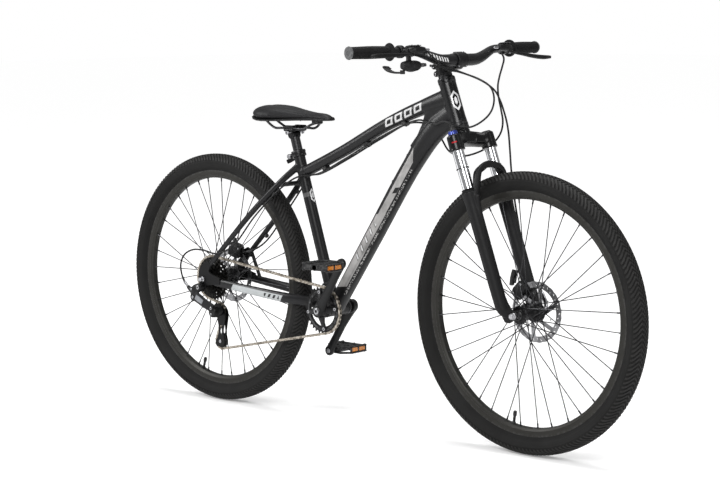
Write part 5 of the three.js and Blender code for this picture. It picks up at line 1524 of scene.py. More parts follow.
def shifter_solids():
    band = turned([(11.5, -5), (14.6, -5), (15.2, -4), (15.2, 4), (14.6, 5), (11.5, 5)], segments=48)
    pod_line = [(2, -30, -35), (3, -18, -36), (2, -4, -37), (-1, 8, -36), (-3, 19, -35)]
    pod_sizes = [(24, 20), (38, 27), (42, 29), (36, 26), (22, 18)]
    return merge(
        band,
        block((-7, -5, -30), (7, 5, -13), 2.5),
        tapered(pod_line, pod_sizes, 32, oval(28, 2.5), (1, 0, 0)),
        rod((3, -28, -35.5), (5, -36, -35), 7, 5.4, sides=24),
    )


def build_shifter():
    turn = on_bar(-1, SHIFTER_REACH)
    melted("shifter_pod", moved(shifter_solids(), turn), MOULDED, 1.0, 5, "steering", ["shifter_body"])
    barrel = [rod((5, -35, -35.2), (8, -51, -34.6), 5.0, 4.2, sides=24)]
    for c, s in circle(14):
        near, far = (5.2 + 4.7 * c, -37, -35.1 + 4.7 * s), (7 + 4.4 * c, -46, -34.8 + 4.4 * s)
        barrel.append(rod(near, far, 0.7, sides=6))
    make("shifter_barrel", moved(merge(barrel), turn), DARK_PLASTIC, "steering")
    cover_line = [(2, -20, -44), (2, -4, -48), (-2, 10, -45)]
    cover = tapered(cover_line, [(20, 6), (28, 8), (16, 6)], 16, oval(24, 2.4), (1, 0, 0))
    make("shifter_cover", moved(cover, turn), DARK_PLASTIC, "steering")
    line = [(-8, 14, -53.5), (-28, 24, -53), (-48, 26, -48), (-66, 20, -40)]
    thumb = [tapered(line, [(15, 5), (13, 5), (18, 6), (20, 7)], 28, oval(20, 3))]
    pivot = rod((-8, 14, -57), (-8, 14, -47), 6.5, sides=32)
    ribs = []
    for k in range(4):
        x, z = -52 - 3 * k, -43.6 + 1.7 * k
        ribs.append(rod((x, 13 + k * 0.4, z), (x, 32 - k * 0.5, z), 0.9, sides=8))
    make(
        "shifter_thumb_lever", moved(merge(thumb, [pivot], ribs), turn), MOULDED, "shifter_lever",
        ["shifter_lever"])


build_headset()
build_stem()
make("handlebar_tube", handlebar_shape(), bar_paint(), "steering", ["handlebar"])
for side, label, drop in ((-1, "right", 2), (1, "left", 20)):
    build_controls(side, label, drop)
build_shifter()


# ---------- drivetrain ----------
CHAIN_PITCH = 12.7
RING_TEETH = 32
COG_TEETH = [32, 28, 24, 21, 18, 15, 13, 11]
JOCKEY_TEETH = 11
COG_SPACING = 4.6
COG_ARMS = 6
RING_Y = -48.8
COG_Y = -30
CRANK_LENGTH = 175
CRANK_ANGLE = math.radians(54)
CRANK_DIRECTION = vec(math.cos(CRANK_ANGLE), 0, math.sin(CRANK_ANGLE))
SPIDER_ANGLES = [CRANK_ANGLE + math.pi / 4 + k * math.pi / 2 for k in range(4)]
RING_BOLT_RADIUS = 52
CAGE_PIVOT = vec(38, 0, 271)
UPPER_JOCKEY = vec(22, 0, 272.5)
LOWER_JOCKEY = vec(33, 0, 181)
ROLLER_RADIUS = 3.85


def pitch_radius(teeth):
    return CHAIN_PITCH / 2 / math.sin(math.pi / teeth)


def toothed(centre, teeth, phase=0.0, tip=3.2):
    """A sprocket's outline: round valleys for the rollers and blunt tips between them."""
    pitch, step = pitch_radius(teeth), 2 * math.pi / teeth
    outline = []
    for tooth in range(teeth):
        for share, rise in ((0.0, -3.9), (0.13, -3.4), (0.26, -1.4), (0.36, 1.2), (0.46, tip), (0.54, tip),
                            (0.64, 1.2), (0.74, -1.4), (0.87, -3.4)):
            angle = phase + (tooth + share) * step
            radius = pitch + rise
            outline.append((centre[0] + radius * math.cos(angle), centre[2] + radius * math.sin(angle)))
    return outline


def belt_path(wheels):
    """The closed path that a chain takes round wheels given as (centre, radius, turn, y)."""
    count = len(wheels)
    signed = [turn * radius for _, radius, turn, _ in wheels]
    headings = []
    for i, (centre, _, _, _) in enumerate(wheels):
        gap = wheels[(i + 1) % count][0] - centre
        distance = math.hypot(gap[0], gap[2])
        growth = signed[(i + 1) % count] - signed[i]
        headings.append(math.atan2(gap[2], gap[0]) - math.asin(growth / distance))
    path = []
    for i, (centre, _, turn, y) in enumerate(wheels):
        arriving = headings[i - 1] - math.pi / 2
        sweep = headings[i] - math.pi / 2 - arriving
        while turn * sweep < 0:
            sweep += turn * 2 * math.pi
        steps = max(6, int(abs(sweep) / 0.03))
        for k in range(steps + 1):
            angle = arriving + sweep * k / steps
            path.append(polar(centre, angle, signed[i], y))
    return np.array(path + [path[0]])


def chain_pins():
    """The pins' places, evenly spaced along the chain's loop."""
    wheels = [
        (BOTTOM_BRACKET, pitch_radius(RING_TEETH), -1, RING_Y),
        (LOWER_JOCKEY, pitch_radius(JOCKEY_TEETH), -1, COG_Y),
        (UPPER_JOCKEY, pitch_radius(JOCKEY_TEETH), 1, COG_Y),
        (REAR_AXLE, pitch_radius(COG_TEETH[0]), -1, COG_Y),
    ]
    path = belt_path(wheels)
    lengths = np.concatenate([[0], np.cumsum(np.linalg.norm(np.diff(path, axis=0), axis=1))])
    count = 2 * round(lengths[-1] / CHAIN_PITCH / 2)
    where = np.arange(count) * lengths[-1] / count
    return np.stack([np.interp(where, lengths, path[:, k]) for k in range(3)], 1)


def link_plate(start, end, offset, half_height, thickness):
    """One waisted side plate between two pins."""
    along = (end - start) / np.linalg.norm(end - start)
    side = np.cross(along, (0, 1, 0))
    side /= np.linalg.norm(side)
    length = np.linalg.norm(end - start)
    outline = []
    for centre, turn in ((length, 0.0), (0.0, math.pi)):
        for angle in np.linspace(-1.15, 1.15, 7) + turn:
            outline.append((centre + half_height * math.cos(angle), half_height * math.sin(angle)))
        middle_side = 1 if turn == 0 else -1
        outline.append((length / 2, middle_side * half_height * 0.68))
    near = [start + along * a + side * b + vec(0, offset, 0) for a, b in outline]
    far = [p + vec(0, thickness, 0) for p in near]
    return loft([near, far])


def chain_links(pins, first, last):
    """Links from one pin to another: inner and outer plates by turns, rollers and riveted pins."""
    parts = []
    for index in range(first, last):
        start, end = pins[index % len(pins)], pins[(index + 1) % len(pins)]
        outer = index % 2
        reach, thickness = (2.75, 0.85) if outer else (1.75, 0.85)
        parts.append(link_plate(start, end, reach, 4.0, thickness))
        parts.append(link_plate(start, end, -reach - thickness, 4.0, thickness))
        parts.append(cross_rod(start, -1.9, 1.9, ROLLER_RADIUS, sides=10))
        parts.append(cross_rod(start, -3.95, 3.95, 1.8, sides=8))
    return merge(parts)


def build_chain():
    pins = chain_pins()
    count = len(pins)
    low = {name: int(np.argmin(np.linalg.norm((pins - place)[:, [0, 2]], axis=1))) for name, place in (
        ("ring_exit", BOTTOM_BRACKET + vec(-22, 0, -70)), ("jockey_entry", LOWER_JOCKEY + vec(41, 0, -14)),
        ("cage_exit", UPPER_JOCKEY + vec(3, 0, 22)), ("cassette_entry", REAR_AXLE + vec(-9, 0, -64)))}
    spans = [
        ("chain_lower_run", low["ring_exit"], low["jockey_entry"], ("frame", "derailleur_cage")),
        ("chain_cage_run", low["jockey_entry"], low["cage_exit"], "derailleur_cage"),
        ("chain_guide_run", low["cage_exit"], low["cassette_entry"], ("derailleur_cage", "frame")),
        ("chain_upper_run", low["cassette_entry"], low["ring_exit"], "frame"),
    ]
    for name, first, last, body in spans:
        last = last if last > first else last + count
        links = chain_links(pins, first, last)
        if isinstance(body, tuple):
            piece = make(name, links, CHAIN_STEEL, None, ["chain"])
            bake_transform(piece)
        else:
            make(name, links, CHAIN_STEEL, body, ["chain"])


def build_cassette():
    plates, spacers = [], []
    for k, teeth in enumerate(COG_TEETH):
        y = COG_Y - k * COG_SPACING
        holes = [ring_outline(REAR_AXLE, 18, 36)]
        if teeth > 20:
            reach = pitch_radius(teeth) - 11
            for arm in range(COG_ARMS):
                start = 2 * math.pi * (arm + 0.12 * k) / COG_ARMS
                window = [polar(REAR_AXLE, start + s, reach, 0) for s in np.linspace(0.14, 0.9, 8)]
                inner = max(25, reach - 16)
                window += [polar(REAR_AXLE, start + s, inner, 0) for s in np.linspace(0.8, 0.24, 6)]
                if reach - inner > 4:
                    holes.append(flat(window))
        plates.append(plate(toothed(REAR_AXLE, teeth, 0.11 * k), y - 0.9, y + 0.9, holes))
        if k:
            near, far = y + 0.9, y + COG_SPACING - 0.9
            spacers.append(turned([(17, near), (21, near), (21, far), (17, far)], REAR_AXLE))
    last = COG_Y - (len(COG_TEETH) - 1) * COG_SPACING
    lock = [
        (9, last - 0.9), (19.5, last - 0.9), (19.8, last - 2), (18.6, last - 3.2), (14.5, last - 3.4),
        (14, last - 1.6), (9, last - 1.6)]
    core = [(9, COG_Y + 4), (17, COG_Y + 4), (17, last - 0.9), (9, last - 0.9)]
    make("cassette_cogs", merge(plates), COG_STEEL, "cassette", ["cassette"])
    make("cassette_spacers", merge(*spacers, turned(core, REAR_AXLE)), MOULDED, "cassette")
    splines = [rod(polar(REAR_AXLE, a, 13.2, last - 2.9), polar(REAR_AXLE, a, 13.2, last - 1.2), 0.8, sides=6)
               for a in np.arange(12) * math.pi / 6]
    make("cassette_lock_ring", merge(turned(lock, REAR_AXLE), *splines), SATIN_BLACK, "cassette")


def on_crank(distance, y):
    return BOTTOM_BRACKET + CRANK_DIRECTION * distance + vec(0, y, 0)


def crank_solids(side):
    """A forged arm that narrows from the spindle and swells again at the pedal."""
    reach = -side * CRANK_LENGTH
    line = [on_crank(reach * s, side * y) for s, y in ((0, 67), (0.14, 68), (0.4, 71), (0.7, 76), (1.0, 81))]
    sizes = [(17, 40), (15, 34), (13, 26), (12, 24), (13, 28)]
    parts = [
        tapered(line, sizes, 36, oval(28, 2.9)),
        cross_rod(BOTTOM_BRACKET, side * 57, side * 76, 20, 18, sides=48, chamfer=2),
        rod(on_crank(reach, side * 74.4), on_crank(reach, side * 87.6), 14.4, 13.6, sides=48, chamfer=2),
    ]
    return parts


def build_cranks():
    right = crank_solids(-1)
    for angle in SPIDER_ANGLES:
        tip = polar(BOTTOM_BRACKET, angle, RING_BOLT_RADIUS, -53.4)
        root = polar(BOTTOM_BRACKET, angle, 10, -60)
        mid_way = polar(BOTTOM_BRACKET, angle, 32, -57)
        right.append(tapered([root, mid_way, tip], [(9, 30), (7, 17), (5.5, 15)], 14, oval(20, 3)))
        right.append(cross_rod(tip, -2.6, 2.8, 8, sides=28))
    melted("crank_forging_right", merge(right), SATIN_BLACK, 1.3, 4, "cranks", ["crank_arm_right"])
    melted("crank_forging_left", merge(crank_solids(1)), SATIN_BLACK, 1.3, 4, "cranks", ["crank_arm_left"])
    bolts = [
        bolt(polar(BOTTOM_BRACKET, angle, RING_BOLT_RADIUS, -55.4), (0, -1, 0), 4.6, 2.2)
        for angle in SPIDER_ANGLES]
    caps = []
    for side in (-1, 1):
        bolts.append(bolt(BOTTOM_BRACKET + vec(0, side * 75, 0), (0, side, 0), 8.5, 3))
        face = side * 76
        profile = [(8.4, face), (12.5, face), (12, face + side * 1.2), (8.4, face + side * 1.4)]
        caps.append(turned(profile, BOTTOM_BRACKET))
    make("crank_bolts", merge(bolts), BOLT_STEEL, "cranks")
    make("crank_caps", merge(caps), DARK_PLASTIC, "cranks")


def build_chainring():
    opening = ring_outline(BOTTOM_BRACKET, 45.5, 60)
    band = plate(toothed(BOTTOM_BRACKET, RING_TEETH, 0.04), RING_Y - 1, RING_Y + 1, [opening])
    make("chainring_teeth", band, PLATE_BLACK, "cranks", ["chainring"])
    step = [
        (50.5, RING_Y - 1), (57.5, RING_Y - 1), (57.5, RING_Y - 1.9), (56, RING_Y - 2.5),
        (50.5, RING_Y - 2.5)]
    make("chainring_step", turned(step, BOTTOM_BRACKET, 96), SATIN_BLACK, "cranks")
    cups = []
    for side in (-1, 1):
        profile = [
            (12.4, side * 36.8), (20.8, side * 36.8), (21.2, side * 37.8), (21.2, side * 43),
            (19.6, side * 45.5), (12.4, side * 46.3)]
        cups.append(turned(profile, BOTTOM_BRACKET, 64))
        for c, s in circle(16):
            near, far = (BOTTOM_BRACKET + vec(21 * c, side * y, 21 * s) for y in (38, 43))
            cups.append(rod(near, far, 1.1, sides=8))
    make("bottom_bracket_cups", merge(cups), SATIN_BLACK, "frame", ["bottom_bracket"])


# ---------- pedals ----------
PEDAL_INNER = 95
PEDAL_SHOULDER = 121
PEDAL_OUTER = 186
PEDAL_RAIL = 44
PEDAL_NECK = 22


def pedal(end, side):
    """A platform cage, narrow at the crank: toothed rails, struts, cross bars and a barrel round the axle."""
    low, high = sorted((side * PEDAL_SHOULDER, side * PEDAL_OUTER))
    x, z = end[0], end[2]
    inner = side * (PEDAL_INNER + 3)
    parts, teeth = [], []
    for way in (-1, 1):
        face = x + way * PEDAL_RAIL
        parts.append(block((face - 4, low, z - 11), (face + 4, high, z - 6.5), 1.4))
        parts.append(block((face - 4, low, z + 6.5), (face + 4, high, z + 11), 1.4))
        parts.append(block((face - 3, low, z - 9), (face + 3, low + 5, z + 9), 1.4))
        parts.append(block((face - 3, high - 5, z - 9), (face + 3, high, z + 9), 1.4))
        back = face - way * 4
        parts.append(block((back - 1.5, low + 4, z - 9), (back + 1.5, high - 4, z + 9), 0.8))
        for up in (-1, 1):
            neck = (x + way * PEDAL_NECK, inner, z + up * 7.5)
            shoulder = (face - way * 1, side * (PEDAL_SHOULDER + 2), z + up * 8.2)
            parts.append(rod(neck, shoulder, 3.2, sides=20))
            for k in range(5):
                y = low + 6 + k * (high - low - 12) / 4
                teeth.append(rod((face, y, z + up * 9.5), (face, y, z + up * 12.2), 2.2, 1.2, sides=8))
    for y in ((low + high) / 2, side * (PEDAL_OUTER - 4)):
        parts.append(block((x - 45, y - 4, z - 8.5), (x + 45, y + 4, z + 8.5), 2.2))
    near, far = sorted((inner - side * 3, inner + side * 4))
    parts.append(block((x - PEDAL_NECK - 3, near, z - 10), (x + PEDAL_NECK + 3, far, z + 10), 2.2))
    parts.append(rod((x, inner, z), (x, side * PEDAL_OUTER, z), 10.5, 9.5, sides=40, chamfer=1.5))
    outer = high if side > 0 else low
    parts.append(rod((x, outer - side * 2, z), (x, outer, z), 8.5, 7, sides=32, chamfer=1))
    return parts, teeth


def build_pedals():
    for side, label in ((-1, "right"), (1, "left")):
        end = on_crank(-side * CRANK_LENGTH, 0)
        parts, teeth = pedal(end, side)
        body = "pedal_" + label
        make("pedal_cage_" + label, merge(parts, teeth), MOULDED, body, ["pedal_" + label])
        low, high = sorted((side * PEDAL_SHOULDER, side * PEDAL_OUTER))
        middle = (low + high) / 2
        lenses = []
        for way in (-1, 1):
            face = end[0] + way * (PEDAL_RAIL - 1.5)
            for y0, y1 in ((low + 6, middle - 3), (middle + 3, high - 6)):
                lenses.append(block((face - 3, y0, end[2] - 6.2), (face + 3, y1, end[2] + 6.2), 1.2))
        make("pedal_reflectors_" + label, merge(lenses), AMBER, body)
        axle = merge(
            cross_rod(end, side * 73.6, side * 89, 6.9, sides=32),
            cross_rod(end, side * 88.4, side * 93.6, 8.6, sides=6),
            cross_rod(end, side * 93, side * (PEDAL_OUTER - 8), 4.5, sides=20))
        make("pedal_spindle_" + label, axle, BOLT_STEEL, "cranks", ["pedal_axle_" + label])


# ---------- rear derailleur ----------
def jockey_wheel(centre):
    holes = [ring_outline(centre, 5.2, 20)]
    for k in range(5):
        holes.append(ring_outline(polar(centre, k * 2 * math.pi / 5, 10.6, 0), 2.5, 12))
    wheel = plate(toothed(centre, JOCKEY_TEETH, 0.1, 2.6), COG_Y - 1.1, COG_Y + 1.1, holes)
    collar = [(3.4, -4.2), (6.4, -4.2), (7, -2), (7, 2), (6.4, 4.2), (3.4, 4.2)]
    return merge(wheel, turned([(radius, COG_Y + y) for radius, y in collar], centre, 40))


CAGE_OUTLINE = [
    (6, 283), (12, 290), (21, 293), (34, 291), (46, 284), (54, 273), (56, 259), (52, 236), (47, 215),
    (47, 199), (51, 186), (51, 175), (44, 167), (31, 164), (18, 165), (11, 172), (13, 182), (22, 193),
    (26, 206), (26, 229), (21, 250), (8, 269)]


def build_derailleur():
    outer, inner = COG_Y - 5.3, COG_Y + 5.3
    window = [(33, 230), (40, 228), (42, 212), (39, 202), (34, 205), (32, 218)]
    sheets = [
        plate(CAGE_OUTLINE, outer - 2, outer, [window, ring_outline(LOWER_JOCKEY, 3, 16)]),
        plate(CAGE_OUTLINE, inner, inner + 2, [window]),
    ]
    make("cage_plates", merge(sheets), PLATE_BLACK, "derailleur_cage", ["derailleur_cage"])
    hub_boss = cross_rod(CAGE_PIVOT, outer - 8, outer - 0.5, 9, sides=40)
    make("cage_pivot", hub_boss, SATIN_BLACK, "derailleur_cage")
    bolts = []
    for centre in (UPPER_JOCKEY, LOWER_JOCKEY):
        bolts.append(cross_rod(centre, outer - 1.8, inner + 3, 2.6, sides=16))
        bolts.append(bolt(centre + vec(0, inner + 2, 0), (0, 1, 0), 4.4, 1.8))
        bolts.append(bolt(centre + vec(0, outer - 2, 0), (0, -1, 0), 4.6, 1.8))
    make("cage_bolts", merge(bolts), BOLT_STEEL, "derailleur_cage")
    for centre, name in ((UPPER_JOCKEY, "upper_jockey"), (LOWER_JOCKEY, "lower_jockey")):
        make(name + "_wheel", jockey_wheel(centre), MOULDED, name, [name])
    knuckle_line = [HANGER_BOLT + vec(0, -84, 0), vec(-20, -85, 333), vec(-22, -84, 315)]
    knuckle = [
        cross_rod(HANGER_BOLT, -74, -90, 12, 11, sides=40, chamfer=2),
        tapered(knuckle_line, [(14, 26), (17, 30), (17, 28)], 20, oval(24, 2.6)),
        rod((-22, -73, 314), (-22, -93, 314), 13.5, 12.5, sides=40, chamfer=2),
        tapered(
            [(-50, -86.5, 343), (-42, -86, 337), (-28, -85, 329)], [(9, 10), (11, 13), (14, 20)], 16,
            oval(20, 2.4)),
    ]
    melted("derailleur_knuckle", merge(knuckle), SATIN_BLACK, 1.1, 4, "frame", ["derailleur_body"])
    outer_link = tapered(
        [(-21, -89, 320), (-2, -87, 310), (19, -81, 296), (38, -71, 284)],
        [(8, 32), (8, 31), (8, 29), (8, 26)], 28, oval(24, 3.2))
    inner_link = tapered(
        [(-20, -77, 311), (10, -70, 295), (38, -60, 275)], [(8, 26), (7, 24), (8, 24)], 24, oval(20, 3))
    melted("derailleur_links", merge(outer_link, inner_link), DARK_PLASTIC, 0.9, 3, "frame")
    cheek_line = [(-10, -92.6, 315.5), (2, -91, 309), (14, -87.8, 301)]
    cheek = tapered(cheek_line, [(2, 15), (2.4, 17), (2, 14)], 16, oval(20, 3))
    make("derailleur_link_face", cheek, LINK_GREY, "frame")
    lower = [
        cross_rod(CAGE_PIVOT, -75, -58, 14.5, 16, sides=48, chamfer=2.5),
        cross_rod(CAGE_PIVOT, -60, outer - 8.4, 16, 14, sides=48, chamfer=1.5),
        tapered(
            [(26, -72, 290), (40, -68, 271), (48, -60, 261)], [(13, 20), (14, 24), (10, 16)], 12,
            oval(20, 2.6)),
    ]
    melted("derailleur_spring_housing", merge(lower), SATIN_BLACK, 1.0, 4, "frame")
    pins = [
        bolt(HANGER_BOLT + vec(0, -90, 0), (0, -1, 0), 6.0, 2.4),
        bolt((-22, -93, 314), (0, -1, 0), 4.2, 1.8), bolt((37, -76, 284), (0, -1, 0), 4.2, 1.8),
        bolt(CAGE_PIVOT + vec(-2, -75, -5), (0, -1, 0), 3.4, 1.6),
        bolt((-30, -91, 337), (0, -1, 0), 3.6, 2.4),
        rod((-63, -87.4, 355.5), (-47, -86.2, 340.5), 4.6, 3.8, sides=14),
        rod((-26, -90, 340), (-8, -91, 320), 1.0, sides=8),
    ]
    make("derailleur_bolts", merge(pins), BOLT_STEEL, "frame")


build_chain()
build_cassette()
build_cranks()
build_chainring()
build_pedals()
build_derailleur()


# ---------- seatpost, clamp and saddle ----------
POST_RADIUS = 13.6
POST_BOTTOM = 215
POST_HEAD = 504
RAIL_Z = 816
RAIL_Y = 22
RAIL_RADIUS = 3.5
SADDLE_X = [187, 200, 215, 235, 255, 280, 300, 325, 350, 378, 405, 430, 450, 462, 467]
SADDLE_WIDTHS = [60, 104, 128, 143, 148, 141, 128, 107, 86, 67, 54, 46, 42, 35, 24]
SADDLE_TOPS = [869, 875, 878, 879.5, 879, 877, 874, 870.5, 867, 864, 861, 859, 857, 853, 849]
SADDLE_LOWS = [850, 846, 842, 839, 838, 838.5, 839, 840, 841, 841.5, 842, 842, 842, 842.5, 843]
PAD_VOXEL = 4.0
PAD_SHRINK = 1.6
PAD_CAP = 2.4
PAD_PRESSURE = 4.0
CLOTH_FRAMES = 20
CHANNEL_DEPTH, CHANNEL_WIDTH = 2.6, 8.5
SEAM_DEPTH, SEAM_WIDTH = 0.9, 1.8
SEAM_PLACE = 0.72  # share of the saddle's half width


def post_marks():
    """Satin black with the post's plain height lines, scratched by the clamp."""
    nodes = Nodes("post_anodised")
    x, _, z = nodes.parts(nodes.coordinates)
    lines = nodes.math("FRACT", nodes.math("MULTIPLY", z, 100))
    scratch = nodes.noise(500, 2, nodes.stretched(1, 1, 0.06))
    mark = nodes.math("MULTIPLY", nodes.ramp(lines, 0.9, 0.94), nodes.ramp(x, 0.334, 0.336))
    tone = nodes.mix(nodes.math("MULTIPLY", mark, 0.3), rgb((0.016, 0.016, 0.017)), rgb((0.2, 0.2, 0.2)))
    tone = nodes.mix(nodes.math("MULTIPLY", nodes.ramp(scratch, 0.58, 0.7), 0.25), tone, rgb((0.1, 0.1, 0.1)))
    nodes.set(
        Base_Color=tone, Metallic=0.4, Roughness=nodes.math("MULTIPLY_ADD", scratch, 0.2, 0.24),
        Normal=nodes.bump(scratch, 0.00005))
    return nodes.material


def build_seatpost():
    profile = [
        (11.2, POST_BOTTOM), (13.2, POST_BOTTOM), (POST_RADIUS, POST_BOTTOM + 1),
        (POST_RADIUS, POST_HEAD - 8), (11.2, POST_HEAD - 8)]
    make(
        "seatpost_tube", moved(upright(profile, 64), SEAT), post_marks(), "seatpost", ["seatpost"])
    head = [
        rod(seat_point(POST_HEAD - 16), seat_point(POST_HEAD - 4), 13.3, 12.5, sides=48),
        rod(seat_point(POST_HEAD, -14.6), seat_point(POST_HEAD, 14.6), 11.6, sides=48),
    ]
    melted("seatpost_head", merge(head), SATIN_BLACK, 1.0, 3, "seatpost")
    centre = seat_point(POST_HEAD)
    clamp = []
    for side in (-1, 1):
        y = side * RAIL_Y
        cheek = block((centre[0] - 18, y - 6.5, RAIL_Z + 0.2), (centre[0] + 24, y + 6.5, RAIL_Z + 8), 2.5)
        foot = block((centre[0] - 17, y - 6.5, RAIL_Z - 9), (centre[0] + 23, y + 6.5, RAIL_Z - 0.2), 2.5)
        clamp += [cheek, foot]
    clamp.append(block((centre[0] - 14, -17, RAIL_Z - 8), (centre[0] + 18, 17, RAIL_Z + 6.5), 3))
    melted("saddle_clamp_casting", merge(clamp), SATIN_BLACK, 1.0, 3, "saddle_clamp", ["saddle_clamp"])
    through = merge(
        rod((centre[0] + 2, -31, RAIL_Z - 12), (centre[0] + 2, 31, RAIL_Z - 12), 3.6, sides=20),
        bolt((centre[0] + 2, -29, RAIL_Z - 12), (0, -1, 0), 6.2, 4),
        bolt((centre[0] + 2, 29, RAIL_Z - 12), (0, 1, 0), 6.2, 4))
    make("saddle_clamp_bolts", through, BOLT_STEEL, "saddle_clamp")


def saddle_ring(index, inset, low, high, count=44):
    """The saddle's section at one station: a domed top, tucked-in sides and a flat underside."""
    x = SADDLE_X[index]
    half = SADDLE_WIDTHS[index] / 2 - inset
    ring = []
    for c, s in circle(count):
        across = math.copysign(abs(c) ** 0.82, c) * half
        rise = abs(s) ** (0.9 if s > 0 else 0.6)
        middle_z = low + (high - low) * 0.3
        z = middle_z + rise * ((high - middle_z) if s > 0 else -(middle_z - low))
        ring.append((x, across, z))
    return ring


def pad_shape(inset):
    rings = []
    for k in range(len(SADDLE_X)):
        low, high = SADDLE_LOWS[k] + 1.2, SADDLE_TOPS[k] - inset
        rings.append(saddle_ring(k, inset, low, high))
    return loft(rings)


def seam_and_channel(piece):
    """Presses a shallow middle channel and a stitched edge line into the finished pad."""
    for vertex in piece.data.vertices:
        x, y, z = vertex.co.x / MM, vertex.co.y / MM, vertex.co.z / MM
        top = float(np.interp(x, SADDLE_X, SADDLE_TOPS))
        half = float(np.interp(x, SADDLE_X, SADDLE_WIDTHS)) / 2
        if z > top - 12:
            fade = max(0.0, min(1.0, (x - 205) / 30)) * max(0.0, min(1.0, (425 - x) / 40))
            z -= CHANNEL_DEPTH * fade * math.exp(-(y / CHANNEL_WIDTH) ** 2)
            edge = abs(abs(y) - half * SEAM_PLACE)
            z -= SEAM_DEPTH * math.exp(-(edge / SEAM_WIDTH) ** 2) * fade
        vertex.co.z = z * MM


def inflate(piece):
    """Swells the pad as stuffed fabric does, then holds each point close to where it began."""
    scene = bpy.context.scene
    cloth = piece.modifiers.new("stuffing", "CLOTH")
    cloth.settings.use_pressure = True
    cloth.settings.uniform_pressure_force = PAD_PRESSURE
    cloth.settings.effector_weights.gravity = 0.0
    cloth.settings.quality = 6
    start = np.array([v.co for v in piece.data.vertices])
    scene.frame_start, scene.frame_end = 1, CLOTH_FRAMES
    for step in range(1, CLOTH_FRAMES + 1):
        scene.frame_set(step)
    graph = bpy.context.evaluated_depsgraph_get()
    swollen = np.array([v.co for v in piece.evaluated_get(graph).data.vertices])
    piece.modifiers.remove(cloth)
    scene.frame_set(1)
    shift = swollen - start
    size = np.linalg.norm(shift, axis=1)[:, None]
    shift *= np.minimum(1, PAD_CAP * MM / np.maximum(size, 1e-9))
    piece.data.vertices.foreach_set("co", (start + shift).ravel())
    piece.data.update()


def build_pad():
    pad = make("saddle_pad", pad_shape(PAD_SHRINK), SADDLE_SKIN)
    remesh = pad.modifiers.new("even", "REMESH")
    remesh.mode = "VOXEL"
    remesh.voxel_size = PAD_VOXEL * MM
    apply_modifiers(pad)
    inflate(pad)
    smooth = pad.modifiers.new("smooth", "SMOOTH")
    smooth.iterations = 4
    rounded = pad.modifiers.new("rounded", "SUBSURF")
    rounded.levels = rounded.render_levels = 1
    apply_modifiers(pad)
    seam_and_channel(pad)
    pad.data.polygons.foreach_set("use_smooth", [True] * len(pad.data.polygons))
    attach(pad, "saddle")
    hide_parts("saddle_cover")


def build_saddle():
    build_pad()
    rings = []
    for k in range(len(SADDLE_X)):
        low = SADDLE_LOWS[k]
        rings.append(saddle_ring(k, 0.6, low - 3.2, low + 7.5))
    make("saddle_base", loft(rings), MOULDED, "saddle", ["saddle_shell"])
    half = [
        (222, 19, 838), (242, 21, 826), (264, RAIL_Y, RAIL_Z), (290, RAIL_Y, RAIL_Z), (350, RAIL_Y, RAIL_Z),
        (378, RAIL_Y, RAIL_Z), (402, 16, 828)]
    line = half + [(412, 0, 833)] + [(x, -y, z) for x, y, z in reversed(half)]
    make("saddle_rail_wire", tube(line, RAIL_RADIUS, 110, 14), RAIL_STEEL, "saddle", ["saddle_rails"])
    mounts = [block((213, s * 19 - 8, 834), (231, s * 19 + 8, 844), 2.5) for s in (-1, 1)]
    mounts.append(block((398, -13, 829), (422, 13, 842), 3))
    make("saddle_rail_sockets", merge(mounts), MOULDED, "saddle")
    studs = []
    for side in (-1, 1):
        for x, width, z in ((230, 142, 839.5), (300, 128, 839), (370, 72, 841)):
            y = side * SEAM_PLACE * width / 2
            studs.append(rod((x, y, z - 4.2), (x, y, z - 1), 1.3, sides=10))
    make("saddle_staples", merge(studs), BOLT_STEEL, "saddle")


def build_seat_clamp():
    low = SEAT_TUBE_LENGTH - 15
    profile = [
        (16.6, low), (20, low), (20.6, low + 1), (20.6, low + 5.4), (19.9, low + 6.2), (19.9, low + 10.6),
        (20.6, low + 11.4), (20.6, low + 16), (20, low + 17), (15, low + 17), (15, low + 15.3),
        (16.6, low + 15.3)]
    ears = [block((-33, s * 2.4, low + 1.5), (-16, s * 10.5, low + 14.5), 2.5) for s in (-1, 1)]
    make("seat_collar", moved(merge(upright(profile, 72), *ears), SEAT), SATIN_BLACK, "frame", ["seat_clamp"])
    shaft = merge(
        rod((-26, -16, low + 8), (-26, 16, low + 8), 2.8, sides=20),
        rod((-26, -17.5, low + 8), (-26, -10.6, low + 8), 6.6, sides=28))
    make("seat_collar_bolt", moved(shaft, SEAT), BOLT_STEEL, "frame")
    pivot = vec(-26, 20, SEAT_TUBE_LENGTH - 7)
    handle = [
        vec(-45, 20, SEAT_TUBE_LENGTH - 10), vec(-56, 17, SEAT_TUBE_LENGTH - 12),
        vec(-66, 13, SEAT_TUBE_LENGTH - 14)]
    lever = cam_lever(pivot, handle, (0, 0, 1), 7)
    melted(
        "seat_collar_lever", moved(merge(lever), SEAT), SATIN_BLACK, 0.7, 4, "seat_clamp_lever",
        ["seat_clamp_lever"])


build_seatpost()
build_saddle()
build_seat_clamp()


# ---------- hoses ----------
HOSE_RADIUS = 2.5


def under_top_tube(y):
    """Points along the underside of the top tube, from front to back, on one side."""
    line, _ = spline(TOP_TUBE, 100)
    return [(line[index][0], y, line[index][2] - 26) for index in (66, 45, 26, 10)]


def under_seatstay(side):
    return [(352, side * 24, 680), (309, side * 44, 650), (219, side * 62, 567), (124, side * 66, 472)]


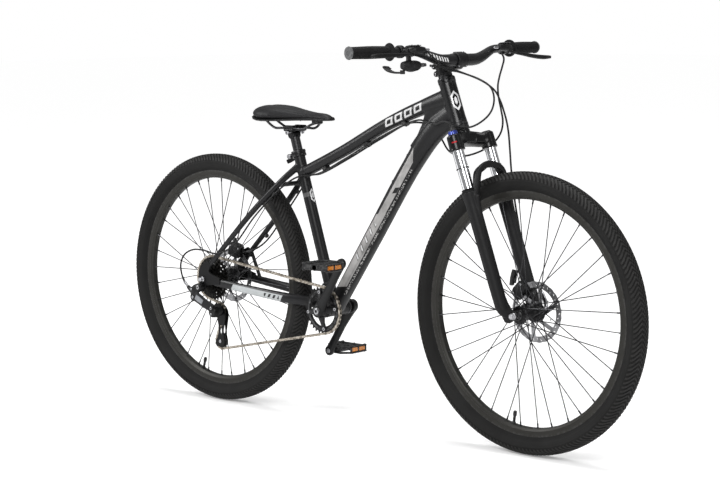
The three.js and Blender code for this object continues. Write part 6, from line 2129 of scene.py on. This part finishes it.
REAR_HOSE_LOOP = [
    (947, 151, 1028), (957, 150, 1011), (961, 138, 989), (964, 124, 967), (974, 104, 941), (986, 92, 912),
    (996, 90, 878), (999, 93, 848), (990, 95, 818), (966, 92, 790), (934, 76, 768), (900, 46, 757),
    (868, 32, 768), (836, 32, 805), (812, 26, 834)]
REAR_HOSE_END = [(84, 56, 447), (50, 48.5, 437)]
SHIFT_LOOP = [
    (936, -122, 999), (944, -100, 997), (948, -56, 990), (960, -10, 975), (990, 12, 960), (1018, 20, 941),
    (1028, 22, 914), (1022, 20, 882), (1004, 10, 857), (975, -12, 838), (946, -34, 842), (910, -36, 852),
    (874, -33, 844), (836, -27, 849), (806, -16, 852)]
SHIFT_END = [
    (72, -80, 448), (20, -86, 455), (-24, -88, 453), (-61, -88, 435), (-77, -88, 407), (-74, -88, 378),
    (-63, -87.4, 355.5)]
FRONT_HOSE = [
    (942, -142, 1036), (944, -106, 1012), (938, -60, 988), (936, -10, 980), (950, 26, 968), (976, 46, 952),
    (998, 62, 930), (1006, 74, 904), (1010, 84, 876), (1014, 90, 850), (1018, 93, 820), (1024, 91, 776),
    (1031, 88, 722), (1042, 89, 640), (1056, 89, 570), (1064, 87, 510), (1066, 76, 472), (1070, 56, 448),
    (1079, 42, 436)]


def ferrule(start, end, radius=3.3):
    return rod(start, end, radius, radius * 0.86, sides=20)


def build_hoses():
    rear_line = REAR_HOSE_LOOP + under_top_tube(8) + under_seatstay(1) + REAR_HOSE_END
    shift_line = SHIFT_LOOP + under_top_tube(-8) + under_seatstay(-1) + SHIFT_END
    for name, line, nodes_for, start, end in (
        ("rear_hose_sheath", rear_line, "rear_brake_hose", (0.986, 0.09, 0.93), (0.86, 0.03, 0.77)),
        ("shift_cable_housing", shift_line, "shift_housing", (1.02, 0.02, 0.94), (0.90, -0.036, 0.85)),
    ):
        hose_piece = make(name, tube(line, HOSE_RADIUS, 420, 12), HOSE_BLACK, None, [nodes_for])
        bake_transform(hose_piece)
    front = make(
        "front_hose_sheath", tube(FRONT_HOSE, HOSE_RADIUS, 260, 12), HOSE_BLACK, None, ["front_brake_hose"])
    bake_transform(front)
    make("shift_ferrules", merge(
        ferrule(
            SHIFT_LOOP[0], np.array(SHIFT_LOOP[1], float) * 0.35 + np.array(SHIFT_LOOP[0], float) * 0.65)),
        DARK_PLASTIC, "steering")
    make("hose_ends", merge(
        ferrule((84, 56, 447), (60, 50.5, 440), 3.6), ferrule((-70, -87.8, 368), (-62, -87.4, 354.5), 3.4)),
        DARK_PLASTIC, "frame")
    make("front_hose_end", ferrule((1070, 56, 448), (1079, 42, 436), 3.6), DARK_PLASTIC, "fork_lowers")


build_hoses()


# ---------- floor, light and camera ----------
CAMERA_AZIMUTH = math.radians(43.34)  # from straight ahead of the right side, towards the front
CAMERA_ELEVATION = math.radians(6.5)
CAMERA_ROLL = math.radians(-0.71)
CAMERA_DISTANCE = 5.375
TARGET = Vector((0.568, 0.0, 0.519))
LENS = 97.7
SENSOR = 36.0
FLOOR_TONE = (0.93, 0.93, 0.93)
WORLD_STRENGTH = 0.22
WORLD_SHEEN = 0.1  # added where the surroundings are seen in a reflection
FLOOR_GLOW = (0.2, 0.78)  # close to the bicycle and far away, so that the sweep of paper stays white
GLOW_REACH = (1.0, 5.0)
FLOOR_HALF = 40
FLOOR_Z = -0.001
SOFTBOXES = [  # name, place, aim, width, height and power
    ("key", (3.2, -4.4, 3.6), (0.6, 0, 0.5), 2.6, 2.6, 200),
    ("front_fill", (5.0, 0.6, 1.6), (0.9, 0, 0.6), 1.2, 2.6, 45),
    ("rear_rim", (-2.6, -2.8, 2.4), (0.3, 0, 0.6), 1.0, 2.4, 120),
    ("overhead", (0.6, 0.4, 4.2), (0.6, 0, 0.4), 3.4, 2.2, 115),
]


def add_camera():
    outward = Vector((
        math.sin(CAMERA_AZIMUTH) * math.cos(CAMERA_ELEVATION),
        -math.cos(CAMERA_AZIMUTH) * math.cos(CAMERA_ELEVATION),
        math.sin(CAMERA_ELEVATION),
    ))
    level = Vector((0, 0, 1)).cross(outward).normalized()
    over = outward.cross(level)
    right = level * math.cos(CAMERA_ROLL) + over * math.sin(CAMERA_ROLL)
    turn = Matrix((right, outward.cross(right), outward)).transposed().to_4x4()
    settings = bpy.data.cameras.new("camera")
    settings.lens = LENS
    settings.sensor_width = SENSOR
    camera = bpy.data.objects.new("camera", settings)
    camera.matrix_world = Matrix.Translation(TARGET + outward * CAMERA_DISTANCE) @ turn
    bpy.context.scene.collection.objects.link(camera)
    bpy.context.scene.camera = camera


def add_softbox(name, place_at, aim, width, height, power):
    light = bpy.data.lights.new(name, "AREA")
    light.shape = "RECTANGLE"
    light.size, light.size_y = width, height
    light.energy = power
    lamp = bpy.data.objects.new(name, light)
    lamp.location = place_at
    lamp.rotation_euler = (Vector(aim) - Vector(place_at)).to_track_quat("-Z", "Y").to_euler()
    bpy.context.scene.collection.objects.link(lamp)


def add_floor():
    nodes = Nodes("pale_floor")
    far = nodes.new("ShaderNodeVectorMath", operation="DISTANCE")
    nodes.feed(far.inputs[0], nodes.coordinates)
    nodes.feed(far.inputs[1], tuple(TARGET * Vector((1, 1, 0))))
    away = nodes.ramp(far.outputs["Value"], *GLOW_REACH)
    seen = nodes.new("ShaderNodeLightPath").outputs["Is Camera Ray"]
    nodes.set(
        Base_Color=nodes.mix(nodes.noise(3), rgb(FLOOR_TONE), rgb(tuple(c * 0.98 for c in FLOOR_TONE))),
        Roughness=0.9, Emission_Color=rgb((1.0, 1.0, 1.0)),
        Emission_Strength=nodes.math("MULTIPLY", seen, nodes.blend(away, *FLOOR_GLOW)))
    points = [(FLOOR_HALF * x, FLOOR_HALF * y, FLOOR_Z) for x, y in ((-1, -1), (1, -1), (1, 1), (-1, 1))]
    mesh = bpy.data.meshes.new("floor")
    mesh.from_pydata(points, [], [(0, 1, 2, 3)])
    mesh.materials.append(nodes.material)
    floor = bpy.data.objects.new("floor", mesh)
    bpy.context.scene.collection.objects.link(floor)


def add_surroundings():
    """Even light, a little stronger in reflections, and white where the camera sees it."""
    world = bpy.data.worlds.new("studio")
    world.use_nodes = True
    sky = world.node_tree.nodes["Background"]
    sky.inputs["Color"].default_value = rgb((1.0, 1.0, 1.0))
    path = world.node_tree.nodes.new("ShaderNodeLightPath")
    link = world.node_tree.links.new
    sheen = world.node_tree.nodes.new("ShaderNodeMath")
    sheen.operation = "MULTIPLY_ADD"
    link(path.outputs["Is Glossy Ray"], sheen.inputs[0])
    sheen.inputs[1].default_value, sheen.inputs[2].default_value = WORLD_SHEEN, WORLD_STRENGTH
    white = world.node_tree.nodes.new("ShaderNodeMath")
    white.operation = "MAXIMUM"
    link(path.outputs["Is Camera Ray"], white.inputs[0])
    link(sheen.outputs[0], white.inputs[1])
    link(white.outputs[0], sky.inputs["Strength"])
    bpy.context.scene.world = world
    bpy.context.scene.view_settings.view_transform = "Standard"


add_floor()
add_surroundings()
for softbox in SOFTBOXES:
    add_softbox(*softbox)
add_camera()
